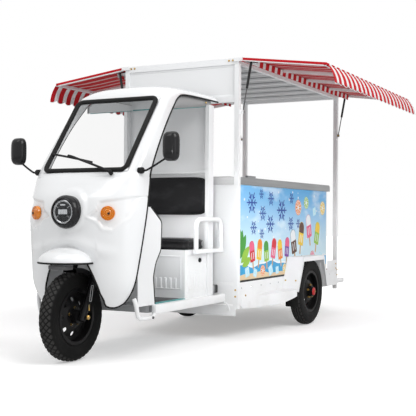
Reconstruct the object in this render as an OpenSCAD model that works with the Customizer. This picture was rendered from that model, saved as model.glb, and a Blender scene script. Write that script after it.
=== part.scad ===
// Ice cream tricycle: an electric three-wheeler with a driver's cab and a roofed food cart.
// Millimetres. +Z is up, -Y is forward and +X is the vehicle's left. Lengths along Y are measured
// from the front axle, and at_origin() then moves each node so that the box is centred.

/* [Wheels] */
// Outer radius of each tyre
tyre_r = 262.5; // [250:0.5:275]
// Width of each tyre
tyre_w = 94; // [86:1:98]
// Front axle to rear axle
wheelbase = 2325; // [2300:5:2350]
// How far the middle of a rear tyre stands outside the posts
track_out = 70; // [65:1:75]
// Radius of the front axle
front_axle_r = 8; // [6:0.5:10]
// Radius of each rear stub axle
stub_r = 12; // [10:0.5:14]
// Radial clearance of every running fit
run_gap = 0.05; // [0.02:0.01:0.1]

/* [Steering] */
// Rake of the steering axis from the vertical
rake = 26; // [25:0.5:27]
// Steering axis to front axle, along Y at axle height
axle_offset = 45; // [42:1:48]
// Middle of the wheel to the middle of a fork leg
leg_x = 80; // [78:1:84]
// Radius of the fork's sliding tubes
stanchion_r = 14; // [12:0.5:15]
// Travel of the fork legs
fork_travel = 30; // [20:1:32]
// Radius of the steering stem
stem_r = 16; // [14:0.5:18]
// Half width of the handlebar
bar_half = 265; // [250:1:275]
// Radius of the handlebar tube
bar_r = 11; // [10:0.5:12]

/* [Cab] */
// Half width of the cowl at its widest
cab_half_w = 390; // [385:1:400]
// Wall of the cab mouldings
cab_wall = 5; // [4:0.5:7]
// Top of the cab floor
floor_z = 318; // [314:1:322]
// Radius of the black edge trim
trim_r = 7; // [5:0.5:8]
// Outer half width of the windscreen seal
screen_half = 308; // [300:1:312]
// Width of the windscreen seal
seal_w = 28; // [20:1:32]
// Outer radius of the headlamp drum
lamp_r = 98; // [90:1:104]
// Radius of each turn signal
signal_r = 42; // [36:1:46]
// Half width of the seat box
seat_half = 330; // [315:1:335]
// Top of the seat box
seat_z = 635; // [620:1:650]
// Thickness of the seat cushion
cushion_t = 70; // [55:1:80]
// Radius of the arm rail tube
rail_r = 16; // [12:0.5:17]

/* [Cart] */
// Half width over the posts
cart_half = 470; // [466:1:474]
// Front face of the front posts
cart_front = 1240; // [1238:1:1245]
// Length over the posts
cart_len = 2000; // [1980:5:2050]
// Top of the roof
roof_z = 1955; // [1930:1:1980]
// Side of each square post
post_s = 35; // [32:0.5:38]
// Wall of the square tubes
tube_wall = 2; // [1.5:0.5:3]
// Top of the bed deck
deck_z = 392; // [389:1:396]
// Top of the steel counter
counter_z = 1131; // [1100:1:1150]
// Height of the counter's steel band
counter_band = 53; // [45:1:60]
// Wall of the cold chest
chest_wall = 16; // [12:1:24]
// Reach of the rear step behind the posts
step_reach = 180; // [150:5:200]

/* [Awnings] */
// Reach of an awning frame from its hinge
awning_reach = 630; // [610:5:645]
// Droop of an open awning
awning_droop = 7.3; // [5:0.1:9]
// Side of the awning's square tubes
awning_s = 20; // [18:1:22]
// Thickness of the awning cloth
cloth_t = 2.5; // [2:0.1:3]
// Length of a valance down to its longest point
valance_len = 138; // [120:1:150]
// Lean of a valance from the vertical
valance_lean = 21; // [15:1:25]
// Width of one pair of stripes, and of one scallop
stripe_pair = 100; // [80:1:120]
// Radius of a gas strut's tube
strut_r = 9; // [8:0.5:10]
// Radius of a gas strut's rod
rod_r = 4; // [3:0.25:4.5]

/* [Hidden] */
$fn = 48;

// Overall places
cart_rear = cart_front + cart_len;
rear_half_track = cart_half + track_out;
step_rear = cart_rear + step_reach;
front_axle_y = tyre_r - (tyre_r + step_rear) / 2;
post_in = cart_half - post_s;
seat_gap = 0.3;

white = [0.93, 0.94, 0.95];
black = [0.06, 0.06, 0.07];
steel = [0.62, 0.63, 0.64];
zinc = [0.72, 0.52, 0.2];
red = [0.82, 0.1, 0.12];
amber = [0.95, 0.55, 0.05];

module at_origin() translate([0, front_axle_y, 0]) children();
module both_sides() { children(); mirror([1, 0, 0]) children(); }
module box(x, y, z) translate([x[0], y[0], z[0]]) cube([x[1] - x[0], y[1] - y[0], z[1] - z[0]]);

// A square tube from a to b along one axis ("x", "y" or "z"), open at both ends
module tube_box(x, y, z, along) {
  w = tube_wall;
  e = 1;
  difference() {
    box(x, y, z);
    if (along == "x") box([x[0] - e, x[1] + e], [y[0] + w, y[1] - w], [z[0] + w, z[1] - w]);
    if (along == "y") box([x[0] + w, x[1] - w], [y[0] - e, y[1] + e], [z[0] + w, z[1] - w]);
    if (along == "z") box([x[0] + w, x[1] - w], [y[0] + w, y[1] - w], [z[0] - e, z[1] + e]);
  }
}
module rod_x(x, y, z, r) translate([x[0], y, z]) rotate([0, 90, 0]) cylinder(r = r, h = x[1] - x[0]);
module rod_y(x, y, z, r) translate([x, y[0], z]) rotate([-90, 0, 0]) cylinder(r = r, h = y[1] - y[0]);

// Extrude an outline of [y, z] points along X, from x[0] to x[1]
module profile_x(x, pts) translate([x[0], 0, 0]) rotate([90, 0, 90])
  linear_extrude(x[1] - x[0]) polygon(pts);

// Closed sheet between two grids of points: f(i, j) is the face, g(i, j) the back
module sheet(nu, nv, f, g) {
  n = (nu + 1) * (nv + 1);
  a = function(i, j) i * (nv + 1) + j;
  pts = [for (i = [0:nu]) for (j = [0:nv]) f(i, j)];
  back = [for (i = [0:nu]) for (j = [0:nv]) g(i, j)];
  quads = [
    for (i = [0:nu - 1]) for (j = [0:nv - 1])
      each [[a(i, j), a(i + 1, j), a(i + 1, j + 1)], [a(i, j), a(i + 1, j + 1), a(i, j + 1)]]];
  rim = concat(
    [for (i = [0:nu - 1]) [a(i, 0), a(i + 1, 0)]],
    [for (j = [0:nv - 1]) [a(nu, j), a(nu, j + 1)]],
    [for (i = [nu:-1:1]) [a(i, nv), a(i - 1, nv)]],
    [for (j = [nv:-1:1]) [a(0, j), a(0, j - 1)]]);
  walls = [for (e = rim) each [[e[1], e[0], e[0] + n], [e[1], e[0] + n, e[1] + n]]];
  polyhedron(concat(pts, back),
    concat(quads, [for (t = quads) [t[2] + n, t[1] + n, t[0] + n]], walls));
}

// Round tube swept along points; up is a direction that the path never runs along
module bent_tube(path, r, sides, up) {
  last = len(path) - 1;
  tangent = function(i) let (d = path[min(i + 1, last)] - path[max(i - 1, 0)]) d / norm(d);
  ring = function(i) let (
    t = tangent(i),
    s = cross(up, t) / norm(cross(up, t)),
    v = cross(t, s))
    [for (k = [0:sides - 1]) path[i] + r * (cos(360 * k / sides) * s + sin(360 * k / sides) * v)];
  pts = [for (i = [0:last]) each ring(i)];
  walls = [for (i = [0:last - 1]) for (k = [0:sides - 1]) let (
    a = i * sides + k, b = i * sides + (k + 1) % sides)
    each [[a, a + sides, b + sides], [a, b + sides, b]]];
  caps = [for (k = [1:sides - 2]) each [
    [0, k, k + 1],
    [last * sides, last * sides + k + 1, last * sides + k]]];
  polyhedron(pts, concat(walls, caps));
}

// Points of a path with its corners rounded: straight runs joined by arcs cut with radius r
function rounded(path, r, steps = 5) = let (last = len(path) - 1) [
  for (i = [0:last]) each (i == 0 || i == last) ? [path[i]] :
    let (a = path[i - 1] - path[i], b = path[i + 1] - path[i],
      ua = a / norm(a), ub = b / norm(b),
      cut = r / tan(acos(ua * ub) / 2))
      [for (k = [0:steps]) let (s = k / steps, p = path[i] + cut * ua, q = path[i] + cut * ub)
        (1 - s) * (1 - s) * p + 2 * s * (1 - s) * path[i] + s * s * q]];

// Pad lying on z0: rings of a rounded rectangle, each [inset, height], closed by a crowned top
module pad(half_x, half_y, rings, sides = 44, square = 9) {
  last = len(rings) - 1;
  pw = function(v) sign(v) * pow(abs(v), 2 / square);
  ring = function(r) [for (k = [0:sides - 1]) let (q = 360 * k / sides)
    [(half_x - r[0]) * pw(cos(q)), (half_y - r[0]) * pw(sin(q)), r[1]]];
  pts = concat([for (r = rings) each ring(r)], [[0, 0, rings[0][1]], [0, 0, rings[last][1]]]);
  n = sides * (last + 1);
  walls = [for (i = [0:last - 1]) for (k = [0:sides - 1]) let (
    a = i * sides + k, b = i * sides + (k + 1) % sides)
    each [[a, a + sides, b + sides], [a, b + sides, b]]];
  ends = [for (k = [0:sides - 1]) let (k2 = (k + 1) % sides)
    each [[n, k, k2], [n + 1, last * sides + k2, last * sides + k]]];
  polyhedron(pts, concat(walls, ends));
}

// The cab's skin
// Stations up the cab, each with the middle line's [z, y], the half width lost at the door edge,
// the door edge's [z, y] and how square the section is between the two
STATIONS = [
  [300, 15, 105, 300, 40, 2.6], [360, 2, 50, 360, 85, 2.6], [455, -14, 32, 455, 125, 2.7],
  [600, -30, 18, 600, 152, 2.8], [770, -42, 4, 770, 178, 2.8], [870, -42, 0, 870, 197, 2.8],
  [960, -20, 0, 960, 214, 3], [1040, 36, 2, 1040, 230, 3.6], [1118, 100, 6, 1118, 250, 5],
  [1240, 190, 14, 1240, 322, 5.5], [1420, 324, 28, 1416, 436, 5.5], [1600, 458, 44, 1588, 562, 5],
  [1650, 508, 50, 1616, 610, 3.6], [1685, 590, 55, 1630, 680, 2.8], [1705, 730, 59, 1638, 800, 2.5],
  [1714, 960, 61, 1644, 990, 2.4], [1716, 1200, 62, 1648, 1200, 2.4]];
screen_low = 8;
screen_top = 11;
last_station = len(STATIONS) - 1;

// Smooth curve through the stations (a Catmull-Rom spline), at a station number h
function at_station(h) = let (
  i = min(floor(max(h, 0)), last_station - 1), u = h - i,
  p0 = STATIONS[max(i - 1, 0)], p1 = STATIONS[i], p2 = STATIONS[i + 1],
  p3 = STATIONS[min(i + 2, last_station)])
  0.5 * (2 * p1 + u * (p2 - p0) + u * u * (2 * p0 - 5 * p1 + 4 * p2 - p3)
    + u * u * u * (3 * p1 - p0 - 3 * p2 + p3));
function station_of(z) = lookup(z, [for (i = [0:screen_top]) [STATIONS[i][0], i]]);

// Skin point at station h and angle a: 0 is the middle line, 90 the left door edge
function skin(h, a) = let (s = at_station(h), c = abs(a), e = 2 / s[5],
  k = 1 - pow(cos(c), e))
  [sign(a) * (cab_half_w - s[2]) * pow(sin(c), e), s[1] + (s[4] - s[1]) * k,
    s[0] + (s[3] - s[0]) * k];
// The same point moved in by d, square to the skin
function skin_in(h, a, d) = let (
  t = at_station(min(h + 0.1, last_station)) - at_station(max(h - 0.1, 0)),
  m = norm([t[0], t[1]]))
  skin(h, a) + d * [-sin(a), cos(a) * t[0] / m, -cos(a) * t[1] / m];
// Lower edge of the cowl: the wheel arch, the apron's foot and the door corner
function cowl_foot(a) = station_of(lookup(abs(a), [[0, 592], [16, 592], [20, 578], [29, 470],
  [42, 374], [55, 338], [69, 326], [82, 332], [90, 350]]));
// Angle at which the skin meets the side of the windscreen opening
function screen_angle(h) = let (s = at_station(h))
  asin(pow(screen_half / (cab_half_w - s[2]), s[5] / 2));

cowl_angles = [for (a = [-90:4.5:90]) a];
cowl_rows = 13;
module cab_cowl() color(white) at_origin() {
  sheet(len(cowl_angles) - 1, cowl_rows,
    function(i, j) cowl_point(i, j, 0), function(i, j) cowl_point(i, j, cab_wall));
  wiper_spindle();
}
function cowl_point(i, j, d) = let (a = cowl_angles[i], foot = cowl_foot(a))
  skin_in(foot + (screen_low - foot) * j / cowl_rows, a, d);

pillar_rows = 10;
pillar_cols = 7;
module cab_pillars() color(white) at_origin() both_sides() sheet(pillar_cols, pillar_rows,
  function(i, j) pillar_point(i, j, 0), function(i, j) pillar_point(i, j, cab_wall));
function pillar_point(i, j, d) = let (
  h = screen_low + 0.003 + (screen_top - screen_low - 0.006) * j / pillar_rows,
  a0 = screen_angle(h))
  skin_in(h, a0 + (90 - a0) * i / pillar_cols, d);

roof_rows = 12;
roof_angles = [for (a = [-90:6:90]) a];
module cab_roof() color(white) at_origin() sheet(len(roof_angles) - 1, roof_rows,
  function(i, j) roof_point(i, j, 0), function(i, j) roof_point(i, j, cab_wall));
function roof_point(i, j, d) =
  skin_in(screen_top + (last_station - screen_top) * j / roof_rows, roof_angles[i], d);

// Black trim along the wheel arch, the apron's foot, the door edge and the roof edge
trim_path = concat(
  [for (a = [18:8:90]) skin(cowl_foot(a), a)],
  [for (h = [cowl_foot(90) + 0.5:0.5:last_station]) skin(h, 90)]);
module edge_trim() color(black) at_origin() {
  both_sides() bent_tube(trim_path, trim_r, 6, [1, 0.2, 0.1]);
  bent_tube([for (a = [-98:14:98]) nose_point(a, 0, 0) - [0, 0, trim_r / 2]], trim_r, 6, [0, 0, 1]);
}

// Windscreen: a flat leaning pane in a rubber seal
low_edge = skin(screen_low, 0);
top_edge = skin(screen_top, 0);
screen_len = norm(top_edge - low_edge);
screen_lean = atan2(top_edge[1] - low_edge[1], top_edge[2] - low_edge[2]);
glass_t = 5;
seal_t = 16;
module on_screen() translate(low_edge) rotate([-screen_lean, 0, 0]) rotate([90, 0, 0]) children();
module screen_plate(inset, t, r) let (x = screen_half - inset, y0 = inset, y1 = screen_len - inset)
  translate([0, 0, -t / 2]) linear_extrude(t) union() {
    for (px = [-x + r, x - r]) for (py = [y0 + r, y1 - r]) translate([px, py]) circle(r);
    translate([-x + r, y0]) square([2 * (x - r), y1 - y0]);
    translate([-x, y0 + r]) square([2 * x, y1 - y0 - 2 * r]);
  }
groove = 8;
module windscreen_seal() color(black) at_origin() on_screen() difference() {
  screen_plate(seat_gap, seal_t, 10);
  screen_plate(seal_w, seal_t + 2, 34);
  screen_plate(seal_w - groove, glass_t, 34);
}
module windscreen_glass() color([0.75, 0.82, 0.85, 0.35]) at_origin() on_screen()
  screen_plate(seal_w - groove, glass_t, 34);

// Lamps on the cowl
lamp_z = 876;
lamp_front = -112;
lamp_back = -30;
lamp_lip = 10;
module headlamp_housing() color(black) at_origin() difference() {
  rod_y(0, [lamp_front - 6, lamp_back], lamp_z, lamp_r);
  rod_y(0, [lamp_front - 7, lamp_back - 20], lamp_z, lamp_r - lamp_lip);
}
module headlamp_lens() color([0.2, 0.21, 0.23]) at_origin() {
  rod_y(0, [lamp_front, lamp_front + 6], lamp_z, lamp_r - lamp_lip - 0.2);
  rod_y(0, [lamp_front + 6, lamp_back - 20], lamp_z, lamp_r - lamp_lip - 25);
}
signal_x = 263;
signal_z = 870;
signal_face = -18;
module turn_signals() color(amber) at_origin() both_sides()
  translate([signal_x, signal_face, signal_z]) rotate([0, 0, 25]) {
    rod_y(0, [0, 22], 0, signal_r);
    rod_y(0, [-8, 0], 0, signal_r * 0.72);
  }

// Nose guard: a quarter dome over the front wheel
nose_half = [205, 130, 88];
nose_mid = [0, -30, 580];
function nose_point(a, b, d) = nose_mid + [(nose_half[0] - d) * sin(a) * cos(b),
  -(nose_half[1] - d) * cos(a) * cos(b), (nose_half[2] - d) * sin(b)];
nose_turn = 100;
nose_cols = 20;
nose_rows = 7;
module nose_guard() color(white) at_origin() sheet(nose_cols, nose_rows,
  function(i, j) nose_point(nose_turn * (2 * i / nose_cols - 1), 87 * j / nose_rows, 0),
  function(i, j) nose_point(nose_turn * (2 * i / nose_cols - 1), 87 * j / nose_rows, 4));

// Leg shield in front of the driver's feet
shield_half = 346;
shield_wall = 6;
shield_back = [[313, 910], [439, 821], [432, 648], [370, 566], [345, 484], [366, floor_z]];
shield_front = [[180, floor_z], [170, 600], [195, 780], [225, 906]];
function moved(pts, d) = [for (p = pts) p + d];
module leg_shield() color(white) at_origin() difference() {
  union() {
    profile_x([-shield_half, shield_half], concat(shield_back,
      [for (i = [len(shield_back) - 1:-1:0]) shield_back[i] - [shield_wall, i == 0 ? 8 : 0]]));
    both_sides() profile_x([shield_half - shield_wall, shield_half],
      concat(shield_front, moved(shield_back, [-shield_wall / 2, 0])));
    profile_x([-shield_half, shield_half], [[240, 902], [312, 903], [313, 910], [240, 908]]);
  }
  on_steering() translate([0, 0, 0]) cylinder(r = stem_r + 8, h = 900);
}

// Floor, sills and the guard tube below the cowl
sill_x = [342, 376];
sill_z = 262;
floor_t = 4;
floor_front = 337;
floor_rear = 1110;
guard_tube_r = 13;
guard_path = rounded([[360, 84, 345], [360, 88, 250], [360, 335, 250]], 42);
module floor_pan() color(white) at_origin() {
  box([-sill_x[0] - 1, sill_x[0] + 1], [floor_front, floor_rear], [floor_z - floor_t, floor_z]);
  pedal_pivot();
  both_sides() {
    tube_box(sill_x, [floor_front - 5, cart_front - 2], [sill_z, floor_z], "y");
    bent_tube(guard_path, guard_tube_r, 10, [1, 0, 0]);
    box([sill_x[0], sill_x[1]], [floor_front - 5, floor_front + 9], [sill_z - 25, sill_z + 1]);
    profile_x([sill_x[1], sill_x[1] + 4], [[cart_front - 40, sill_z + 40], [cart_front - 10, sill_z + 40],
      [cart_front - 8, sill_z - 10], [cart_front + 14, sill_z - 62], [cart_front - 6, sill_z - 66],
      [cart_front - 40, sill_z - 10]]);
  }
}

// Seat, back wall and arm rails
seat_front = 753;
wall_y = 1085;
wall_t = 8;
upright_x = [318, 345];
upright_y = [1040, 1108];
wall_top = 1612;
module back_wall() color([0.85, 0.86, 0.87]) at_origin() {
  translate([0, wall_y + wall_t, 0]) rotate([90, 0, 0]) linear_extrude(wall_t) polygon(concat(
    [[-upright_x[0] - 1, floor_z], [upright_x[0] + 1, floor_z], [upright_x[0] + 1, wall_top]],
    [for (a = [70:-10:-70]) let (p = skin_in(15.5, a, cab_wall + seat_gap)) [p[0], p[2]]],
    [[-upright_x[0] - 1, wall_top]]));
  both_sides() box(upright_x, upright_y, [floor_z, wall_top]);
  box([-upright_x[0], upright_x[0]], [wall_y - 14, wall_y], [1150, 1172]);
}
backrest_z = [862, 1126];
module backrest() color(black) at_origin() translate([0, wall_y - seat_gap, 0]) rotate([90, 0, 0])
  translate([0, (backrest_z[0] + backrest_z[1]) / 2, 0])
    pad(upright_x[0] - 4, (backrest_z[1] - backrest_z[0]) / 2,
      [[5, 0], [1, 8], [3, 20], [1, 32], [9, 39], [40, 42], [100, 44]]);
seat_back = wall_y - 7;
seat_wall = 2.5;
module seat_box() color(white) at_origin() difference() {
  box([-seat_half, seat_half], [seat_front, seat_back - 40], [floor_z, seat_z]);
  box([-seat_half + seat_wall, seat_half - seat_wall], [seat_front + seat_wall, seat_back - 40 - seat_wall],
    [floor_z + seat_wall, seat_z + 1]);
}
hinge_drop = 2;
module seat_cushion() color(black) at_origin()
  translate([0, (seat_front + seat_back - 48) / 2, seat_z + seat_gap])
    pad(seat_half + 3, (seat_back - 48 - seat_front) / 2 + 6,
      [[4, 0], [0, cushion_t * 0.2], [4, cushion_t * 0.5], [0, cushion_t * 0.75],
        [10, cushion_t * 0.93], [50, cushion_t], [105, cushion_t + 4]]);
module battery_pack() color([0.2, 0.22, 0.25]) at_origin()
  box([-seat_half + 70, seat_half - 70], [seat_front + 40, seat_back - 80],
    [floor_z + seat_wall, seat_z - 90]);
rail_x = 364;
rail_path = rounded([[rail_x, 838, seat_z], [rail_x, 838, 834], [rail_x, 1184, 834],
  [rail_x, 1184, seat_z]], 60);
module arm_rails() color(white) at_origin() both_sides() {
  bent_tube(rail_path, rail_r, 10, [1, 0, 0]);
  box([rail_x - rail_r, rail_x + rail_r], [822, 1200], [seat_z - 26, seat_z]);
  box([seat_half, rail_x - rail_r], [860, 920], [seat_z - 26, seat_z - 2]);
}

// Mirrors
mirror_at = [563, 168, 1262];
mirror_size = [94, 56, 177];
mirror_pin_r = 5;
mirror_pin_x = 548;
mirror_foot = [388, 150, 1121];
mirror_path = rounded([mirror_foot, mirror_foot + [34, 0, 0], [mirror_pin_x, mirror_at[1], 1196]], 16);
module mirror_arms() color(black) at_origin() both_sides() {
  bent_tube(mirror_path, 6, 8, [0, 1, 0]);
  translate(mirror_foot + [-24, 0, 0]) rotate([0, 90, 0]) cylinder(r = 19, h = 33);
  translate([mirror_pin_x, mirror_at[1], 1190]) cylinder(r = mirror_pin_r, h = 40);
}
module mirror_head() {
  h = mirror_size / 2;
  r = 24;
  difference() {
    union() {
      translate(mirror_at) hull() for (x = [-1, 1]) for (z = [-1, 1]) {
        translate([x * (h[0] - r), h[1] - 14, z * (h[2] - r)]) rotate([-90, 0, 0])
          cylinder(r = r, h = 14, $fn = 32);
        translate([x * (h[0] - r - 6), -h[1], z * (h[2] - r - 6)]) rotate([-90, 0, 0])
          cylinder(r = r - 6, h = 10, $fn = 32);
      }
    }
    translate([mirror_pin_x, mirror_at[1], 1150]) cylinder(r = mirror_pin_r + run_gap, h = 82);
    translate([mirror_at[0] - mirror_size[0], mirror_at[1] - 40, 1150]) cube([mirror_size[0] + 8, 80, 50]);
  }
}
module mirror_head_left() color(black) at_origin() mirror_head();
module mirror_head_right() color(black) at_origin() mirror([1, 0, 0]) mirror_head();

// Wiper, parked across the foot of the windscreen
wiper_lift = 26;
wiper_pin = [218, -24];
wiper_park = 21;
wiper_reach = 370;
blade_half = 190;
module on_wiper() on_screen() translate([wiper_pin[0], wiper_pin[1], 0]) children();
module wiper() color(black) at_origin() on_wiper() {
  difference() {
    translate([0, 0, wiper_lift - 6]) cylinder(r = 13, h = 16);
    translate([0, 0, wiper_lift - 7]) cylinder(r = 5 + run_gap, h = 12);
  }
  rotate([0, 0, 180 - wiper_park]) {
    translate([8, -6, wiper_lift]) cube([wiper_reach - 8, 12, 8]);
    translate([wiper_reach - 6, 0, 0]) rotate([0, 0, 7])
      translate([-blade_half, -4, wiper_lift - 10]) cube([2 * blade_half, 8, 12]);
  }
}
module wiper_spindle() on_wiper() translate([0, 0, -8]) cylinder(r = 5, h = wiper_lift + 12);

// Steering and front fork, along the raked axis
module on_steering() translate([0, axle_offset, tyre_r]) rotate([-rake, 0, 0]) children();
module on_fork() translate([0, 0, tyre_r]) rotate([-rake, 0, 0]) children();
crown_s = 365;
crown_t = 26;
head_s = [crown_s + crown_t + 4, crown_s + crown_t + 150];
bar_s = 756;
fork_gap = axle_offset * cos(rake);
module fork_crown() color(black) at_origin() {
  on_steering() {
    translate([0, 0, crown_s + 2]) cylinder(r = stem_r, h = bar_s - crown_s - bar_r - 5);
    difference() {
      union() {
        translate([-leg_x - 24, -fork_gap - 24, crown_s]) cube([2 * leg_x + 48, fork_gap + 48, crown_t]);
        translate([-34, -24, bar_s - 26]) cube([68, 48, 30]);
      }
      rod_x([-bar_half, bar_half], 0, bar_s, bar_r);
      translate([0, 0, crown_s]) cylinder(r = stem_r - 0.5, h = crown_t);
    }
  }
  on_fork() for (x = [-leg_x, leg_x]) translate([x, 0, 170])
    cylinder(r = stanchion_r, h = crown_s + axle_offset * sin(rake) + crown_t / 2 - 170);
}
module handlebar() color(black) at_origin() on_steering() {
  rod_x([-bar_half, bar_half], 0, bar_s, bar_r - 0.2);
  rod_x([bar_half - 118, bar_half + 2], 0, bar_s, bar_r + 5);
  for (x = [-135, 95]) rod_x([x, x + 40], 0, bar_s, bar_r + 9);
  translate([lever_x - 9, -lever_y - 10, bar_s - 5]) cube([18, lever_y, 10]);
  translate([lever_x, -lever_y, bar_s - 4]) cylinder(r = lever_pin_r, h = 18);
}
module throttle_grip() color(black) at_origin() on_steering() difference() {
  rod_x([-bar_half - 4, -bar_half + 118], 0, bar_s, bar_r + 5);
  rod_x([-bar_half - run_gap, -bar_half + 120], 0, bar_s, bar_r - 0.2 + run_gap);
}
lever_y = 60;
lever_pin_r = 3;
lever_x = -118;
module brake_lever() color(black) at_origin() on_steering() difference() {
  union() {
    translate([lever_x - 140, -lever_y - 7, bar_s + 5.5]) cube([140, 11, 6]);
    translate([lever_x, -lever_y, bar_s + 5.5]) cylinder(r = 9, h = 6);
  }
  translate([lever_x, -lever_y, bar_s]) cylinder(r = lever_pin_r + run_gap, h = 20);
}

// Sliding fork legs with the front axle, brake hose and the stays of the mudguard
leg_r = 21;
leg_len = 240;
module fork_legs() color(black) at_origin() {
  on_fork() for (x = [-leg_x, leg_x]) translate([x, 0, 0]) difference() {
    union() {
      translate([0, 0, -26]) cylinder(r = leg_r, h = leg_len + 26);
      translate([-6, leg_r - 4, 40]) cube([12, 20, 70]);
    }
    translate([0, 0, 100]) cylinder(r = stanchion_r + run_gap, h = leg_len);
  }
  rod_x([-leg_x - leg_r - 14, leg_x + leg_r + 14], 0, tyre_r, front_axle_r);
  bent_tube(hose_path, 4, 8, [1, 0.1, 0]);
  on_fork() both_sides() box([guard_half - 6, leg_x - stanchion_r - 1], [-8, 8], [200, 266]);
}
hose_path = [[leg_x + 17, 30, 325], [leg_x + 28, 16, 368], [leg_x + 33, 12, 410], [leg_x + 32, 30, 448],
  [leg_x + 27, 62, 462], [leg_x + 17, 84, 448]];
guard_half = 56;
guard_r = 286;
module front_mudguard() color(black) at_origin() translate([0, 0, tyre_r]) rotate([0, 90, 0])
  rotate([0, 0, 120]) translate([0, 0, -guard_half + 4]) rotate_extrude(angle = 74) polygon([
    [guard_r - 30, 0], [guard_r - 27, 0], [guard_r, 3], [guard_r, 2 * guard_half - 11],
    [guard_r - 27, 2 * guard_half - 8], [guard_r - 30, 2 * guard_half - 8],
    [guard_r - 4, 2 * guard_half - 15], [guard_r - 4, 7]]);

// Wheels
rim_r = 150;
flange_r = 165;
rim_half = 41;
module turned(pts) rotate([0, 90, 0]) rotate_extrude() polygon(pts);
module tyre_ring() {
  w = tyre_w / 2;
  b = rim_half - 3.5;
  outer = [[flange_r + 1, -b], [flange_r + 7, -b - 5], [205, -w], [tyre_r - 27, -w + 2],
    [tyre_r - 11, -w + 9], [tyre_r - 2.5, -w + 22], [tyre_r, -w + 36]];
  inner = [[rim_r + 16, -b + 11], [205, -w + 9], [tyre_r - 20, -w + 14], [tyre_r - 12, -w + 36]];
  flip = function(p) [for (i = [len(p) - 1:-1:0]) [p[i][0], -p[i][1]]];
  turned(concat([[rim_r + 0.2, -b]], outer, flip(outer), [[rim_r + 0.2, b], [rim_r + 0.2, b - 11]],
    [for (p = inner) [p[0], -p[1]]], [for (i = [3:-1:0]) inner[i]], [[rim_r + 0.2, -b + 11]]));
}
// Steel disc wheel: barrel with two flanges, a dished disc with round holes, and a bored hub
module wheel_rim(hub_half, hub_r, bore_r, dish) {
  difference() {
    union() {
      turned([[rim_r - 4, -rim_half], [flange_r, -rim_half], [flange_r, -rim_half + 3], [rim_r, -rim_half + 3],
        [rim_r, rim_half - 3], [flange_r, rim_half - 3], [flange_r, rim_half], [rim_r - 4, rim_half]]);
      turned([[hub_r - 2, dish + 10], [70, dish + 10], [118, dish - 14], [rim_r - 3, dish - 14],
        [rim_r - 3, dish - 19], [116, dish - 19], [68, dish + 5], [hub_r - 2, dish + 5]]);
      turned([[0, -hub_half], [hub_r, -hub_half], [hub_r, hub_half], [0, hub_half]]);
      for (k = [0:4]) rotate([72 * k, 0, 0]) translate([dish + 9, 0, 52]) rotate([0, 90, 0])
        cylinder(r = 9, h = 12, $fn = 6);
    }
    rod_x([-hub_half - 1, hub_half + 1], 0, 0, bore_r);
    for (k = [0:7]) rotate([45 * k, 0, 0]) translate([dish - 40, 0, 100]) rotate([0, 90, 0])
      cylinder(r = 14, h = 80);
  }
}
module front_rim() color(black) at_origin() translate([0, 0, tyre_r])
  wheel_rim(leg_x - leg_r - 3, 40, front_axle_r + run_gap, 10);
module front_tyre() color(black) at_origin() translate([0, 0, tyre_r]) tyre_ring();
module on_rear_left() translate([rear_half_track, wheelbase, tyre_r]) children();
hub_out = 52;
module rear_rim() on_rear_left() {
  wheel_rim(hub_out, 42, stub_r + run_gap, 16);
  translate([hub_out, 0, 0]) rotate([0, 90, 0]) cylinder(r = 34, h = 12);
}
module rear_rim_left() color(black) at_origin() rear_rim();
module rear_rim_right() color(black) at_origin() mirror([1, 0, 0]) rear_rim();
module rear_tyre_left() color(black) at_origin() on_rear_left() tyre_ring();
module rear_tyre_right() color(black) at_origin() mirror([1, 0, 0]) on_rear_left() tyre_ring();

// Rear axle with drums, differential, motor and leaf springs
axle_r = 36;
drum_r = 108;
drum_in = rear_half_track - 104;
leaf_x = 385;
leaf_w = 50;
leaf_t = 8;
leaf_half = 430;
leaf_rise = 34;
// One pack of three leaves, drawn as a single stepped profile
function leaf_rise_at(y) = leaf_rise * pow(y / leaf_half, 2);
module leaf_pack() {
  z0 = tyre_r + axle_r + 2 * leaf_t;
  top = [for (k = [-8:8]) let (y = leaf_half * k / 8) [wheelbase + y, z0 + leaf_t + leaf_rise_at(y)]];
  half = [[1, 0], [0.9, 0], [0.78, 0], [0.78, 1], [0.67, 1], [0.56, 1], [0.56, 2], [0.3, 2], [0, 2]];
  low = function(s) [for (h = half) [wheelbase + s * h[0] * leaf_half,
    z0 + leaf_rise_at(h[0] * leaf_half) - h[1] * leaf_t]];
  front = low(-1);
  profile_x([leaf_x - leaf_w / 2, leaf_x + leaf_w / 2],
    concat(top, low(1), [for (k = [7:-1:0]) front[k]]));
}
module rear_axle() color(black) at_origin() {
  translate([0, wheelbase, tyre_r]) {
    rod_x([-drum_in, drum_in], 0, 0, axle_r);
    rod_x([-rear_half_track - 40, rear_half_track + 40], 0, 0, stub_r);
    rod_y(-20, [-84, 66], 0, 80);
    rod_y(-20, [60, 250], 0, 68);
  }
  both_sides() {
    translate([0, wheelbase, tyre_r]) rod_x([drum_in - 10, rear_half_track - hub_out - 1], 0, 0, drum_r);
    leaf_pack();
    box([leaf_x - 34, leaf_x + 28], [wheelbase - 52, wheelbase + 52],
      [tyre_r - axle_r - 14, tyre_r + axle_r + 3 * leaf_t + 12]);
    for (y = [-1, 1]) box([chassis_x + chassis_w / 2, leaf_x + 20],
      [wheelbase + y * (leaf_half - 22) - 18, wheelbase + y * (leaf_half - 22) + 18],
      [tyre_r + axle_r + 2 * leaf_t + leaf_rise - 2, deck_under]);
  }
}

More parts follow.
